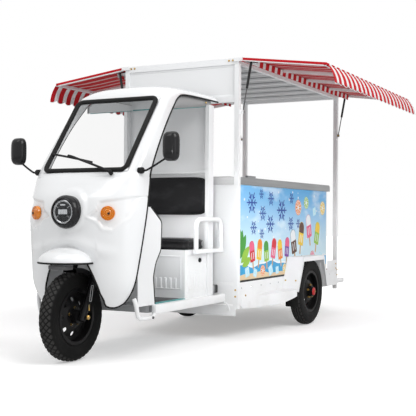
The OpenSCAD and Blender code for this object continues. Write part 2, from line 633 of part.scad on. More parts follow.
// Chassis: rails under the bed, cab frame, steering head and rear step
deck_t = 14;
deck_under = deck_z - deck_t;
chassis_x = 290;
chassis_w = 40;
chassis_h = 56;
cab_frame_z = [floor_z - floor_t - 42, floor_z - floor_t];
front_cross = [298, 336];
step_z = 300;
cross_at = [cart_front - 78, cart_front + 480, cart_rear - 360, cart_rear - 62];
step_half = cart_half - 40;
module chassis_frame() color(black) at_origin() {
  both_sides() {
    tube_box([chassis_x - chassis_w / 2, chassis_x + chassis_w / 2], [1112, cart_rear - 20],
      [deck_under - chassis_h, deck_under], "y");
    tube_box([chassis_x - chassis_w / 2, chassis_x + chassis_w / 2], [front_cross[1] - 1, 1153], cab_frame_z, "y");
    box([chassis_x - chassis_w / 2, chassis_x + chassis_w / 2], [1152, 1160],
      [cab_frame_z[0], deck_under - chassis_h]);
    box([chassis_x - chassis_w / 2, chassis_x + chassis_w / 2], [1112, 1160],
      [cab_frame_z[1] - 1, deck_under - chassis_h + 1]);
    box([chassis_x - 18, chassis_x + 18], [cart_rear - 60, cart_rear + 1], [264, deck_under - chassis_h]);
  }
  for (y = cross_at) tube_box([-chassis_x + chassis_w / 2, chassis_x - chassis_w / 2], [y, y + 40],
    [deck_under - chassis_h + 8, deck_under - 8], "x");
  tube_box([-sill_x[0], sill_x[0]], front_cross, cab_frame_z, "x");
  tube_box([-step_half, step_half], [cart_rear, cart_rear + 30], [262, step_z - 5], "x");
  tube_box([-step_half, step_half], [step_rear - 30, step_rear], [262, step_z - 5], "x");
  both_sides() tube_box([step_half - 30, step_half], [cart_rear + 29, step_rear - 29], [262, step_z - 5], "y");
  box([-step_half, step_half], [cart_rear, step_rear], [step_z - 6, step_z]);
  translate([0, (front_cross[0] + front_cross[1]) / 2, cab_frame_z[1] - 1]) cylinder(r = 16, h = 395);
  difference() {
    union() {
      on_steering() translate([0, 0, head_s[0]]) cylinder(r = stem_r + 11, h = head_s[1] - head_s[0]);
      for (z = [650, 695]) rod_y(0, [axle_offset + (z - tyre_r) * tan(rake), 317], z, 14);
    }
    on_steering() translate([0, 0, head_s[0] - 1]) cylinder(r = stem_r + run_gap, h = head_s[1] - head_s[0] + 2);
  }
}

// Foot brake pedal on the driver's right
pedal_at = [-170, 420, floor_z + 22];
module brake_pedal() color(black) at_origin() {
  difference() {
    union() {
      rod_x([pedal_at[0] - 12, pedal_at[0] + 12], pedal_at[1], pedal_at[2], 12);
      translate([pedal_at[0] - 6, pedal_at[1], pedal_at[2]]) rotate([-8, 0, 0]) translate([0, -5, 8])
        cube([12, 10, 110]);
      translate([pedal_at[0] - 32, pedal_at[1], pedal_at[2]]) rotate([-8, 0, 0]) translate([0, -8, 108])
        cube([64, 14, 56]);
    }
    rod_x([pedal_at[0] - 13, pedal_at[0] + 13], pedal_at[1], pedal_at[2], 6 + run_gap);
  }
}
module pedal_pivot() {
  rod_x([pedal_at[0] - 24, pedal_at[0] + 24], pedal_at[1], pedal_at[2], 6);
  for (x = [pedal_at[0] - 22, pedal_at[0] + 14]) box([x, x + 8], [pedal_at[1] - 12, pedal_at[1] + 12],
    [floor_z - 1, pedal_at[2] + 10]);
}

// Cart: posts with the studs of the gas struts
hinge_x = cart_half + 18;
hinge_z = roof_z - 12;
hinge_rod_r = 6;
post_foot = 215;
stud_r = 4;
stud_x = cart_half + 14;
stud_z = roof_z - 373;
bar_edge = 4;
strut_y = [cart_front + 37, cart_rear - 37];
strut_half = 6;
module cart_posts() color(white) at_origin() both_sides() {
  for (y = [cart_front, cart_rear - post_s])
    tube_box([post_in, cart_half], [y, y + post_s], [post_foot, roof_z - 2], "z");
  for (k = [0, 1]) let (in = k == 0 ? 1 : -1, y = strut_y[k]) {
    box([cart_half - 1, cart_half + 3], [y - in * 20 - 12, y - in * 20 + 12], [stud_z - 18, stud_z + 18]);
    translate([stud_x, y, stud_z]) rotate([90, 0, 0]) cylinder(r = stud_r, h = 2 * strut_half + 8, center = true);
    let (e = y - in * (strut_half + 4)) box([cart_half - 1, stud_x + 8], [e - 2.5, e + 2.5], [stud_z - 12, stud_z + 12]);
  }
}

// Roof
beam_h = 43;
fascia_low = roof_z - 305;
rib_step = 250;
module roof_frame() color(white) at_origin() {
  for (y = [cart_front + 2, cart_rear - post_s + 2])
    tube_box([-post_in, post_in], [y, y + post_s - 4], [roof_z - beam_h, roof_z], "x");
  tube_box([-post_in, post_in], [cart_front + 4, cart_front + post_s - 4], [fascia_low, fascia_low + 40], "x");
  both_sides() {
    tube_box([post_in + 2, cart_half - 2], [cart_front + post_s, cart_rear - post_s], [roof_z - beam_h, roof_z], "y");
    rod_y(hinge_x, [cart_front - 14, cart_rear + 14], hinge_z, hinge_rod_r);
    for (y = [cart_front - 12, cart_rear]) difference() {
      box([post_in, hinge_x + 10], [y, y + 12], [hinge_z - 12, hinge_z + 12]);
      rod_y(hinge_x, [y - 1, y + 13], hinge_z, hinge_rod_r - 0.5);
    }
  }
  for (y = [cart_front + rib_step:rib_step:cart_rear - rib_step / 2])
    tube_box([-post_in - 3, post_in + 3], [y - 15, y + 15], [roof_z - beam_h + 3, roof_z - 24], "x");
}
module roof_sheet() color([0.8, 0.81, 0.82]) at_origin() let (
  pitch = 125, y0 = cart_front + post_s, y1 = cart_rear - post_s, n = floor((y1 - y0) / pitch), z = roof_z - 24,
  top = [for (k = [0:n - 1]) each [[y0 + k * pitch + 30, z + 2], [y0 + k * pitch + 45, z + 20],
    [y0 + k * pitch + 80, z + 20], [y0 + k * pitch + 95, z + 2]]])
  profile_x([-post_in - 2, post_in + 2], concat([[y0, z], [y0, z + 2]], top, [[y1, z + 2], [y1, z]],
    [for (k = [len(top) - 1:-1:0]) top[k] - [0, 2]]));
module front_fascia() color(white) at_origin() {
  box([-post_in, post_in], [cart_front + 12, cart_front + 18], [fascia_low + 40, roof_z - beam_h]);
}

// Bed deck, chest, counter, panels
chest_front = cart_front + post_s + 4;
chest_rear = cart_rear - 255;
chest_half = cart_half - 10;
panel_t = 5;
counter_t = 2;
counter_rear = chest_rear + 52;
counter_round = 26;
lid_x = [150 - chest_half, chest_half - 150];
lid_y = [chest_front + 130, chest_rear - 696];
lid_t = 36;
module bed_deck() color([0.5, 0.42, 0.32]) at_origin() {
  box([-post_in, post_in], [cart_front, cart_rear], [deck_under, deck_z]);
  both_sides() box([post_in, cart_half - 2], [cart_front + post_s, cart_rear - post_s], [deck_under, deck_z]);
}
module chest_body() color(white) at_origin() {
  difference() {
    box([-chest_half, chest_half], [chest_front, chest_rear], [deck_z, counter_z - counter_t]);
    box([-chest_half + chest_wall, chest_half - chest_wall], [chest_front + chest_wall, chest_rear - chest_wall],
      [deck_z + chest_wall, counter_z]);
  }
  box([-post_in, post_in], [cart_front + 10, chest_front], [deck_z, counter_z - counter_t]);
}
module counter_top() color(steel) at_origin() {
  lid_hinge();
  counter_sheet();
  counter_end();
}
module counter_sheet() difference() {
  union() {
    box([-post_in, post_in], [cart_front + 6, counter_rear], [counter_z - counter_band, counter_z]);
    box([-cart_half + 1, cart_half - 1], [cart_front + post_s, counter_rear], [counter_z - counter_band, counter_z]);
  }
  box([-post_in - 1, post_in + 1], [cart_front + 10, chest_front + 1], [0, counter_z - counter_t]);
  box([-cart_half + 3, cart_half - 3], [chest_front, counter_rear - 2], [0, counter_z - counter_t]);
  box(lid_x, lid_y, [0, counter_z + 1]);
  box([-cart_half, cart_half], [counter_rear - counter_round, counter_rear + 1],
    [counter_z - counter_round, counter_z + 1]);
}
module counter_end() let (y = counter_rear - counter_round, z = counter_z - counter_round) intersection() {
  box([-cart_half + 1, cart_half - 1], [y, counter_rear], [z, counter_z]);
  difference() {
    rod_x([-cart_half + 1, cart_half - 1], y, z, counter_round);
    rod_x([-cart_half + 3, cart_half - 3], y, z, counter_round - counter_t);
  }
}
lid_hinge_x = lid_x[0] - 14;
lid_hinge_z = counter_z + 12;
module chest_lid() color(steel) at_origin() {
  difference() {
    union() {
      box([lid_x[0] + 4, lid_x[1] - 4], [lid_y[0] + 4, lid_y[1] - 4], [counter_z - lid_t, counter_z + 2]);
      box([lid_x[0] - 4, lid_x[1] + 16], [lid_y[0] - 14, lid_y[1] + 14], [counter_z + 1, counter_z + 10]);
    }
    box([lid_x[0] + 6, lid_x[1] - 6], [lid_y[0] + 6, lid_y[1] - 6], [counter_z - lid_t + 2, counter_z + 7]);
  }
  for (y = [lid_y[0] + 120, lid_y[1] - 180]) difference() {
    union() {
      rod_y(lid_hinge_x, [y, y + 60], lid_hinge_z, 8);
      box([lid_hinge_x, lid_x[0] + 40], [y, y + 60], [lid_hinge_z - 3, lid_hinge_z + 3]);
    }
    rod_y(lid_hinge_x, [y - 1, y + 61], lid_hinge_z, 4 + run_gap);
  }
  box([lid_x[1] - 50, lid_x[1] - 30], [(lid_y[0] + lid_y[1]) / 2 - 70, (lid_y[0] + lid_y[1]) / 2 + 70],
    [counter_z + 9, counter_z + 34]);
}
module lid_hinge() for (y = [lid_y[0] + 120, lid_y[1] - 180]) {
  rod_y(lid_hinge_x, [y - 12, y + 72], lid_hinge_z, 4);
  for (e = [y - 12, y + 61]) box([lid_hinge_x - 8, lid_hinge_x + 6], [e, e + 11], [counter_z - 1, lid_hinge_z + 6]);
}
module side_panels() color([0.15, 0.6, 0.85]) at_origin() both_sides()
  box([chest_half, chest_half + panel_t], [cart_front + post_s + 3, chest_rear - 26],
    [deck_z + 2, counter_z - counter_band - 2]);

// Skirts round the bed; the side skirts have a rounded lower front corner
skirt_low = 212;
skirt_end = wheelbase - 370;
tail_low = 255;
skirt_t = 6;
module side_skirts() color(white) at_origin() {
  both_sides() {
    difference() {
      box([cart_half - skirt_t, cart_half], [cart_front + post_s, skirt_end], [skirt_low, deck_under]);
      difference() {
        box([0, cart_half + 1], [cart_front + post_s - 1, cart_front + post_s + 60], [skirt_low - 1, skirt_low + 60]);
        rod_x([0, cart_half + 2], cart_front + post_s + 60, skirt_low + 60, 60);
      }
    }
    box([cart_half - skirt_t, cart_half], [wheelbase + 330, cart_rear - post_s], [tail_low, deck_under]);
  }
  difference() {
    box([-post_in, post_in], [cart_front + 4, cart_front + 4 + skirt_t], [skirt_low + 30, deck_under]);
    both_sides() box([chassis_x - chassis_w / 2 - 1, chassis_x + chassis_w / 2 + 1],
      [cart_front, cart_front + 20], [deck_under - chassis_h - 1, deck_under + 1]);
  }
  box([-post_in, post_in], [cart_rear - 4 - skirt_t, cart_rear - 4], [deck_under - chassis_h + 2, deck_under]);
}

// Rear mudguards: folded sheet with an inner flange on the body
guard_x = [cart_half + 0.5, cart_half + 138];
guard_t = 3;
guard_fold = [[wheelbase - 330, 282], [wheelbase - 222, 543], [wheelbase + 222, 543], [wheelbase + 300, 282]];
module mudguards() color(white) at_origin() both_sides() {
  profile_x(guard_x, concat(guard_fold, [[wheelbase + 296.5, 282], [wheelbase + 219.7, 540],
    [wheelbase - 219.7, 540], [wheelbase - 326.5, 282]]));
  box([chest_half + panel_t, guard_x[0] + 3], [wheelbase - 214, wheelbase + 214], [505, 541]);
}
tail_x = [cart_half - 140, cart_half - 55];
tail_z = [deck_under - chassis_h + 4, deck_under - 14];
module tail_lamps() color(red) at_origin() both_sides() difference() {
  box(tail_x, [cart_rear - 4, cart_rear + 14], tail_z);
  box([tail_x[0] + 6, tail_x[1] - 6], [cart_rear + 9, cart_rear + 15], [tail_z[0] + 6, tail_z[1] - 6]);
}

// Zinc bolts that show on the cart
module bolt(at, turn) translate(at) rotate(turn) { cylinder(r = 7, h = 3); cylinder(r = 5.5, h = 7, $fn = 6); }
module frame_bolts() color(zinc) at_origin() both_sides() {
  for (x = [post_in - 44, post_in - 14]) bolt([x, cart_front + 2, roof_z - 16], [90, 0, 0]);
  for (z = [300, 345]) {
    bolt([cart_half - post_s / 2, cart_front, z], [90, 0, 0]);
    bolt([cart_half, cart_rear - post_s / 2, z + 40], [0, 90, 0]);
  }
  for (y = [cart_front + 120, skirt_end - 60]) bolt([cart_half, y, 300], [0, 90, 0]);
}

// Awnings: frame, cloth and valance in the awning's own plane, out from its hinge
awning_y = [cart_front + 2, cart_rear - 2];
module on_awning() translate([hinge_x, 0, hinge_z]) rotate([0, awning_droop, 0]) children();
module awning_frame() on_awning() {
  h = awning_s / 2;
  difference() {
    box([-h, h], awning_y, [-h, h]);
    rod_y(0, [awning_y[0] - 1, awning_y[1] + 1], 0, hinge_rod_r + run_gap);
  }
  tube_box([awning_reach - awning_s, awning_reach], awning_y, [-h, h], "y");
  for (k = [0:4]) let (y = awning_y[0] + (awning_y[1] - awning_y[0] - awning_s) * k / 4)
    tube_box([h, awning_reach - awning_s], [y, y + awning_s], [-h, h], "x");
  for (y = [awning_y[0] + awning_s, awning_y[1] - awning_s - 4])
    rod_y(strut_u, [y, y + 4], 0, 8);
}
module awning_frame_left() color(white) at_origin() awning_frame();
module awning_frame_right() color(white) at_origin() mirror([1, 0, 0]) awning_frame();

module awning_cloth() on_awning() {
  h = awning_s / 2 + seat_gap;
  o = awning_reach + seat_gap;
  t = cloth_t;
  translate([0, awning_y[1] - 2, 0]) rotate([90, 0, 0]) linear_extrude(awning_y[1] - awning_y[0] - 4) polygon([
    [-h, h + t], [o, h + t], [o + t, h], [o + t, -h], [o, -h], [o, h], [-h, h], [-h, -h], [h, -h], [h, -h - t],
    [-h, -h - t], [-h - t, -h], [-h - t, h]]);
}
module awning_cloth_left() color(red) at_origin() awning_cloth();
module awning_cloth_right() color(red) at_origin() mirror([1, 0, 0]) awning_cloth();

// Valance: cloth hanging from the outer bar, its foot scalloped and lightly folded
valance_u = awning_reach + cloth_t + 2 * seat_gap;
scallops = floor((cart_len - 8) / stripe_pair);
valance_cols = scallops * 6;
valance_rows = 3;
function valance_point(i, j, back) = let (
  s = i / valance_cols, y = awning_y[0] + 2 + (awning_y[1] - awning_y[0] - 4) * s,
  p = s * scallops + 0.25 - floor(s * scallops + 0.25),
  drop = (valance_len - 20 * pow(2 * p - 1, 2)) * j / valance_rows,
  fold = 4 * sin(360 * s * scallops / 2) * j / valance_rows,
  top = [hinge_x + valance_u * cos(awning_droop), hinge_z - valance_u * sin(awning_droop)],
  d = [sin(valance_lean), -cos(valance_lean)], n = [cos(valance_lean), sin(valance_lean)])
  let (q = top + drop * d + (fold + (back ? 0 : cloth_t)) * n) [q[0], y, q[1]];
module valance() sheet(valance_cols, valance_rows, function(i, j) valance_point(i, j, true),
  function(i, j) valance_point(i, j, false));
module valance_left() color(red) at_origin() valance();
module valance_right() color(red) at_origin() mirror([1, 0, 0]) valance();

// Gas struts: each rod turns on a post's stud, and its tube slides on the rod
strut_u = 60;
strut_top = [hinge_x + strut_u * cos(awning_droop), hinge_z - strut_u * sin(awning_droop)];
strut_len = norm(strut_top - [stud_x, stud_z]);
strut_lean = atan2(strut_top[0] - stud_x, strut_top[1] - stud_z);
tube_from = 165;
rod_end = 195;
module on_struts() for (y = strut_y) translate([stud_x, y, stud_z]) rotate([0, strut_lean, 0]) children();
module strut_rods() on_struts() difference() {
  union() {
    rotate([90, 0, 0]) cylinder(r = stud_r + 5, h = 2 * strut_half, center = true);
    cylinder(r = rod_r, h = rod_end);
  }
  rotate([90, 0, 0]) cylinder(r = stud_r + run_gap, h = 2 * strut_half + 2, center = true);
}
module strut_tubes() on_struts() difference() {
  union() {
    translate([0, 0, tube_from]) cylinder(r = strut_r, h = strut_len - tube_from - 14);
    translate([0, 0, strut_len - 16]) cylinder(r = 5, h = 12);
    translate([0, 0, strut_len]) rotate([90, 0, 0]) cylinder(r = 7, h = 2 * strut_half, center = true);
  }
  translate([0, 0, tube_from - 1]) cylinder(r = rod_r + run_gap, h = strut_len - tube_from - 22);
}
module strut_rods_left() color(steel) at_origin() strut_rods();
module strut_rods_right() color(steel) at_origin() mirror([1, 0, 0]) strut_rods();
module strut_tubes_left() color(black) at_origin() strut_tubes();
module strut_tubes_right() color(black) at_origin() mirror([1, 0, 0]) strut_tubes();

chassis_frame();
floor_pan();
cab_cowl();
cab_pillars();
cab_roof();
edge_trim();
windscreen_seal();
windscreen_glass();
headlamp_housing();
headlamp_lens();
turn_signals();
nose_guard();
leg_shield();
back_wall();
backrest();
seat_box();
battery_pack();
arm_rails();
mirror_arms();
rear_axle();
cart_posts();
roof_frame();
roof_sheet();
front_fascia();
chest_body();
counter_top();
side_panels();
bed_deck();
side_skirts();
mudguards();
tail_lamps();
frame_bolts();
awning_frame_left();
awning_frame_right();
awning_cloth_left();
awning_cloth_right();
valance_left();
valance_right();
strut_rods_left();
strut_rods_right();
strut_tubes_left();
strut_tubes_right();
mirror_head_left();
mirror_head_right();
wiper();
seat_cushion();
chest_lid();
fork_crown();
handlebar();
throttle_grip();
brake_lever();
fork_legs();
front_mudguard();
front_rim();
front_tyre();
rear_rim_left();
rear_tyre_left();
rear_rim_right();
rear_tyre_right();
brake_pedal();
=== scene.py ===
# %% [markdown]
# # An ice cream tricycle
# A three-wheeled vending vehicle: a driver's cab in front, and a roofed cart with striped awnings
# behind. The packed CAD model comes in first as a fixed frame. Pieces whose solid shape is already
# right keep their CAD mesh and get a finish; the cab, tyres, cloth and cushions get finer surfaces.

# %% Load the frame
import math

import bmesh
import bpy
import numpy as np
from mathutils import Matrix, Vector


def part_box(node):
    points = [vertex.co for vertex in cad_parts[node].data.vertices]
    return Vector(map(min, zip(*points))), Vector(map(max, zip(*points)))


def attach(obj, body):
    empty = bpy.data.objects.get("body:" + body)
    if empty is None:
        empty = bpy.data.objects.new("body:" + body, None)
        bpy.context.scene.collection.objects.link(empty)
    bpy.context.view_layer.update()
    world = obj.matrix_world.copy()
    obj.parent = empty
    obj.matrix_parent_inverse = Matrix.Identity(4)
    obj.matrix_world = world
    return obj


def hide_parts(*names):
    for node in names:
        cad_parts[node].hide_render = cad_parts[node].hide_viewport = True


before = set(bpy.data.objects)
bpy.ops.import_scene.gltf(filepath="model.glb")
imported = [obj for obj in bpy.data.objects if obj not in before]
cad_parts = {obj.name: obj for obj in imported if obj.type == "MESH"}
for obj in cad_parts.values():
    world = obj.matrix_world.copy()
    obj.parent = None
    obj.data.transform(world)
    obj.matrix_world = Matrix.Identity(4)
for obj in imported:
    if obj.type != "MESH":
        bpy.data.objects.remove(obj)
scene = bpy.context.scene
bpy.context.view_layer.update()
tyre_low, tyre_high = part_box("front_tyre")
AXLE_Y = (tyre_low.y + tyre_high.y) / 2
SIDES = (("left", 1), ("right", -1))

# %% [markdown]
# ## Camera
# The picture was taken from the vehicle's front left, at about the height of a person's waist. The
# lens is given in pixels of the 416 pixel picture, and the two shifts put the picture's optical
# centre where it was found, so the model lands on the same pixels.

# %% Make the camera
PICTURE = 416
LENS_PIXELS = 866.17
CENTRE_PIXEL = (234.41, 211.05)
EYE = np.array([3149.9, -4118.1, 857.0])
yaw, pitch, roll = np.radians([26.82, 0.34, 0.36])


def placed(points):
    """Millimetres measured from the front axle become metres in the shared frame."""
    return np.asarray(points, float) / 1000 + np.array([0.0, AXLE_Y, 0.0])


def stand(made, right, up, back, at):
    """Puts a camera or lamp at a place in metres, by where its right, top and back face."""
    turn = np.eye(4)
    turn[:3] = np.stack([right, up, back, at], -1)
    made.matrix_world = Matrix(turn.tolist())
    scene.collection.objects.link(made)


ahead = np.array([-np.sin(yaw), np.cos(yaw), 0.0])
across = np.array([np.cos(yaw), np.sin(yaw), 0.0])
upright = np.array([0.0, 0.0, 1.0])
look = np.cos(pitch) * ahead + np.sin(pitch) * upright
lifted = np.cos(pitch) * upright - np.sin(pitch) * ahead
right_axis = np.cos(roll) * across + np.sin(roll) * lifted
up_axis = np.cos(roll) * lifted - np.sin(roll) * across
lens = bpy.data.cameras.new("photo_camera")
lens.sensor_width = 36.0
lens.sensor_fit = "HORIZONTAL"
lens.lens = LENS_PIXELS / PICTURE * lens.sensor_width
lens.shift_x = (PICTURE / 2 - CENTRE_PIXEL[0]) / PICTURE
lens.shift_y = (CENTRE_PIXEL[1] - PICTURE / 2) / PICTURE
lens.clip_end = 100.0
camera = bpy.data.objects.new("photo_camera", lens)
stand(camera, right_axis, up_axis, -look, placed(EYE))
scene.camera = camera
scene.view_settings.view_transform = "Standard"
print("lens", round(lens.lens, 2), "mm")

# %% [markdown]
# ## Shader sums in plain Python
# A material is a small sum over the surface: a noise times a number, one colour mixed into another.
# Wire holds one socket of a material's tree, and + - * on it add Math nodes. Every other node
# comes from its node method, which sets the node up and returns its outputs by name.

# %% Wrap a socket
class Wire:
    """One output socket of a material; arithmetic on it adds Math nodes to the same tree."""

    def __init__(self, tree, socket=None):
        self.tree = tree
        self.socket = socket

    def node(self, kind, settings=None, values=None):
        """Adds a node: settings are its own properties, set first, and values its inputs."""
        made = self.tree.nodes.new(kind)
        for key, value in (settings or {}).items():
            setattr(made, key, value)
        for key, value in (values or {}).items():
            plug = made.inputs[key] if isinstance(key, int) else next(
                s for s in made.inputs if s.name == key and s.enabled)
            if isinstance(value, Wire):
                self.tree.links.new(value.socket, plug)
            else:
                plug.default_value = value
        return {s.name: Wire(self.tree, s) for s in made.outputs if s.enabled}

    def sum(self, operation, first, second=0.0):
        """One Math node: the operation on two values, each a wire or a number."""
        settings = {"operation": operation}
        return self.node("ShaderNodeMath", settings, {0: first, 1: second})["Value"]

    def __add__(self, other):
        return self.sum("ADD", self, other)

    def __sub__(self, other):
        return self.sum("SUBTRACT", self, other)

    def __rsub__(self, other):
        return self.sum("SUBTRACT", other, self)

    def __mul__(self, other):
        return self.sum("MULTIPLY", self, other)

    __radd__ = __add__
    __rmul__ = __mul__


print("a wire has", len(vars(Wire)), "names")

# %% [markdown]
# Some sums come back in many finishes: cloudy noise, a soft step between two heights, a mix of two
# colours, and a bump from a height. Each is a line or two on top of Wire.

# %% Common sums
def cloud(at, scale, detail=3.0, stretch=None):
    """Noise from 0 to 1 over the place at; stretch squeezes it along each axis first."""
    if stretch is not None:
        at = at.node("ShaderNodeMapping", None, {"Vector": at, "Scale": stretch})["Vector"]
    values = {"Vector": at, "Scale": scale, "Detail": detail}
    return at.node("ShaderNodeTexNoise", None, values)["Fac"]


def step(value, low, high):
    """0 below low, 1 above high and a smooth S between them."""
    settings = {"interpolation_type": "SMOOTHSTEP"}
    values = {"Value": value, "From Min": low, "From Max": high}
    return value.node("ShaderNodeMapRange", settings, values)["Result"]


def blended(share, first, second):
    """The first colour where share is 0 and the second where it is 1."""
    first = (*first, 1.0) if isinstance(first, tuple) else first
    second = (*second, 1.0) if isinstance(second, tuple) else second
    values = {"Factor": share, "A": first, "B": second}
    return share.node("ShaderNodeMix", {"data_type": "RGBA"}, values)["Result"]


def bumped(height, distance, strength=1.0):
    """A surface normal tilted by a height field; distance is the height of 1 in metres."""
    values = {"Height": height, "Distance": distance, "Strength": strength}
    return height.node("ShaderNodeBump", None, values)["Normal"]


def parts_of(at):
    """The three coordinates of a place as separate wires."""
    split = at.node("ShaderNodeSeparateXYZ", None, {"Vector": at})
    return split["X"], split["Y"], split["Z"]


print("sums: cloud, step, blended, bumped and parts_of")

# %% [markdown]
# A finish is one Principled shader. What is the same all over goes straight on its sockets; what
# varies comes from a recipe, a function of the place on the object.

# %% Finishes
def finish(name, colour, roughness, recipe, **fixed):
    """A material: fixed numbers go straight on the shader, and recipe(at) gives what varies."""
    made = bpy.data.materials.new(name)
    made.use_nodes = True
    tree = made.node_tree
    shader = tree.nodes["Principled BSDF"]
    shader.inputs["Base Color"].default_value = (*colour, 1.0)
    shader.inputs["Roughness"].default_value = roughness
    for key, value in fixed.items():
        shader.inputs[key.replace("_", " ").title().replace("Ior", "IOR")].default_value = value
    made.diffuse_color = (*colour, 1.0)
    place = Wire(tree).node("ShaderNodeTexCoord")["Object"]
    for key, wire in recipe(place).items():
        tree.links.new(wire.socket, shader.inputs[key])
    print("finish", name)
    return made


print("materials to begin with:", len(bpy.data.materials))

# %% [markdown]
# ## Paints
# The cab mouldings are glossy white with a clear coat; the cart's steel is sprayed white, a little
# rougher, and picks up road dust low down. The running gear is black. Each paint varies slightly in
# tone and gloss, as real paint does, with a fine orange peel in its bump.

# %% Paints
def sprayed(tone, dust_tone, dust_top, peel, gloss):
    """A paint recipe: cloudy tone, dust below a height in metres, and orange peel."""
    def recipe(at):
        height = parts_of(at)[2]
        drift = cloud(at, 2.5, 4.0)
        dust = (1 - step(height, 0.12, dust_top)) * step(cloud(at, 9.0, 5.0), 0.35, 0.75)
        shade = blended(drift, tone, tuple(v * 0.965 for v in tone))
        colour = blended(dust * 0.35, shade, dust_tone)
        rough = dust * 0.25 + cloud(at, 14.0) * 0.08 + (gloss - 0.04)
        return {"Base Color": colour, "Roughness": rough,
                "Normal": bumped(cloud(at, 420.0, 1.0), 0.0004 * peel)}
    return recipe


def paint(name, tone, dust_tone, dust_top, peel, gloss, **fixed):
    """A sprayed finish of one tone."""
    return finish(name, tone, gloss, sprayed(tone, dust_tone, dust_top, peel, gloss), **fixed)


WHITE = (0.80, 0.81, 0.82)
BLACK = (0.010, 0.010, 0.011)
BLACK_DUST = (0.05, 0.047, 0.043)
cab_white = paint("cab_white", WHITE, (0.62, 0.61, 0.58), 0.5, 0.5, 0.2,
                  coat_weight=0.5, coat_roughness=0.08)
cart_white = paint("cart_white", (0.84, 0.85, 0.86), (0.6, 0.59, 0.56), 0.55, 1.0, 0.34)
frame_black = paint("frame_black", BLACK, BLACK_DUST, 0.6, 1.0, 0.42, specular_ior_level=0.35)
rim_black = paint("rim_black", (0.005, 0.005, 0.0055), (0.02, 0.019, 0.017), 0.6, 0.6, 0.3,
                  specular_ior_level=0.12, coat_weight=0.03)
hub_red = paint("hub_red", (0.44, 0.01, 0.012), (0.3, 0.1, 0.08), 0.5, 0.6, 0.3,
                specular_ior_level=0.3)
teal_paint = paint("teal_paint", (0.02, 0.3, 0.3), (0.2, 0.3, 0.3), 0.5, 0.8, 0.4)
# Painted shade: a grey for the sheets on the door headers, where the roof's edge shades the doorway.
header_shade_grey = paint("header_shade_grey", (0.3, 0.303, 0.306), (0.28, 0.28, 0.27), 0.5, 1.0, 0.5)
roof_metal = paint("roof_metal", (0.6, 0.61, 0.62), (0.5, 0.5, 0.48), 0.2, 1.0, 0.5)

# %% [markdown]
# ## Rubber and plastic
# Rubber is dark and dull, with a fine grain; the tread's tops are greyer, partly rubbed by the road
# and partly a painted highlight, and its grooves stay dark as painted shade. Moulded plastic has a
# faint texture; where it is polished, only its gloss varies.

# %% Rubbers and plastics
def grained(tone, pale, grain, spread):
    """A matt recipe: a dark tone that fades to a paler one in patches, with a fine grain."""
    def recipe(at):
        patch = step(cloud(at, 6.0, 5.0), 0.35, 0.8)
        rough = cloud(at, 30.0) * spread + (0.62 - spread / 2)
        return {"Base Color": blended(patch, tone, pale), "Roughness": rough,
                "Normal": bumped(cloud(at, grain, 2.0), 0.0006)}
    return recipe


def tread_recipe(at):
    """Black rubber, greyer on the tread's tops by the mesh's worn values: partly road wear and partly a
    painted highlight, with painted shade left dark in the grooves.
    """
    parts = grained((0.004, 0.004, 0.004), (0.008, 0.0078, 0.0076), 260.0, 0.2)(at)
    worn = at.node("ShaderNodeAttribute", {"attribute_name": "worn"})["Fac"]
    patches = cloud(at, 45.0) * 0.6 + 0.4
    # The grey on the tread's tops is partly road wear and partly a painted highlight; the dark grooves
    # are partly painted shade.
    parts["Base Color"] = blended(worn * patches, parts["Base Color"], (0.052, 0.051, 0.05))
    return parts


def moulded(name, tone, pale, grain, spread, **fixed):
    """A grained finish of one tone."""
    return finish(name, tone, 0.55, grained(tone, pale, grain, spread), **fixed)


def polished(name, colour, scale, spread, least, **fixed):
    """An even colour whose roughness is noise times spread, plus least."""
    return finish(name, colour, least, lambda at: {"Roughness": cloud(at, scale) * spread + least},
                  **fixed)


tyre_rubber = finish("tyre_rubber", (0.02, 0.02, 0.02), 0.62, tread_recipe, specular_ior_level=0.1)
trim_rubber = moulded("trim_rubber", (0.005, 0.005, 0.005), (0.009, 0.009, 0.009), 500.0, 0.2,
                      specular_ior_level=0.2)
matt_plastic = moulded("matt_plastic", (0.008, 0.008, 0.0085), (0.014, 0.014, 0.0145), 700.0, 0.16,
                       specular_ior_level=0.2)
grey_plastic = moulded("grey_plastic", (0.09, 0.09, 0.095), (0.13, 0.13, 0.13), 600.0, 0.16)
gloss_black = polished("gloss_black", (0.011, 0.011, 0.012), 40.0, 0.1, 0.12,
                       specular_ior_level=0.22, coat_weight=0.05)

# %% [markdown]
# ## Metal and glass
# Brushed steel has long scratches along the counter, so its noise is stretched along Y. The bolts
# are zinc plated and passivated yellow, which shows as a warm metal with cooler patches. Glass is a
# dark, nearly clear sheet that is a little hazy in places.

# %% Metals and glass
def brushed(name, tone, stretch, gloss, metallic=1.0):
    """A bare metal: scratches are noise stretched along one axis."""
    def recipe(at):
        scratch = cloud(at, 60.0, 4.0, stretch)
        smear = cloud(at, 3.0, 4.0)
        return {"Base Color": blended(scratch, tone, tuple(v * 0.82 for v in tone)),
                "Roughness": scratch * 0.14 + smear * 0.12 + (gloss - 0.1),
                "Normal": bumped(scratch, 0.0002)}
    return finish(name, tone, gloss, recipe, metallic=metallic)


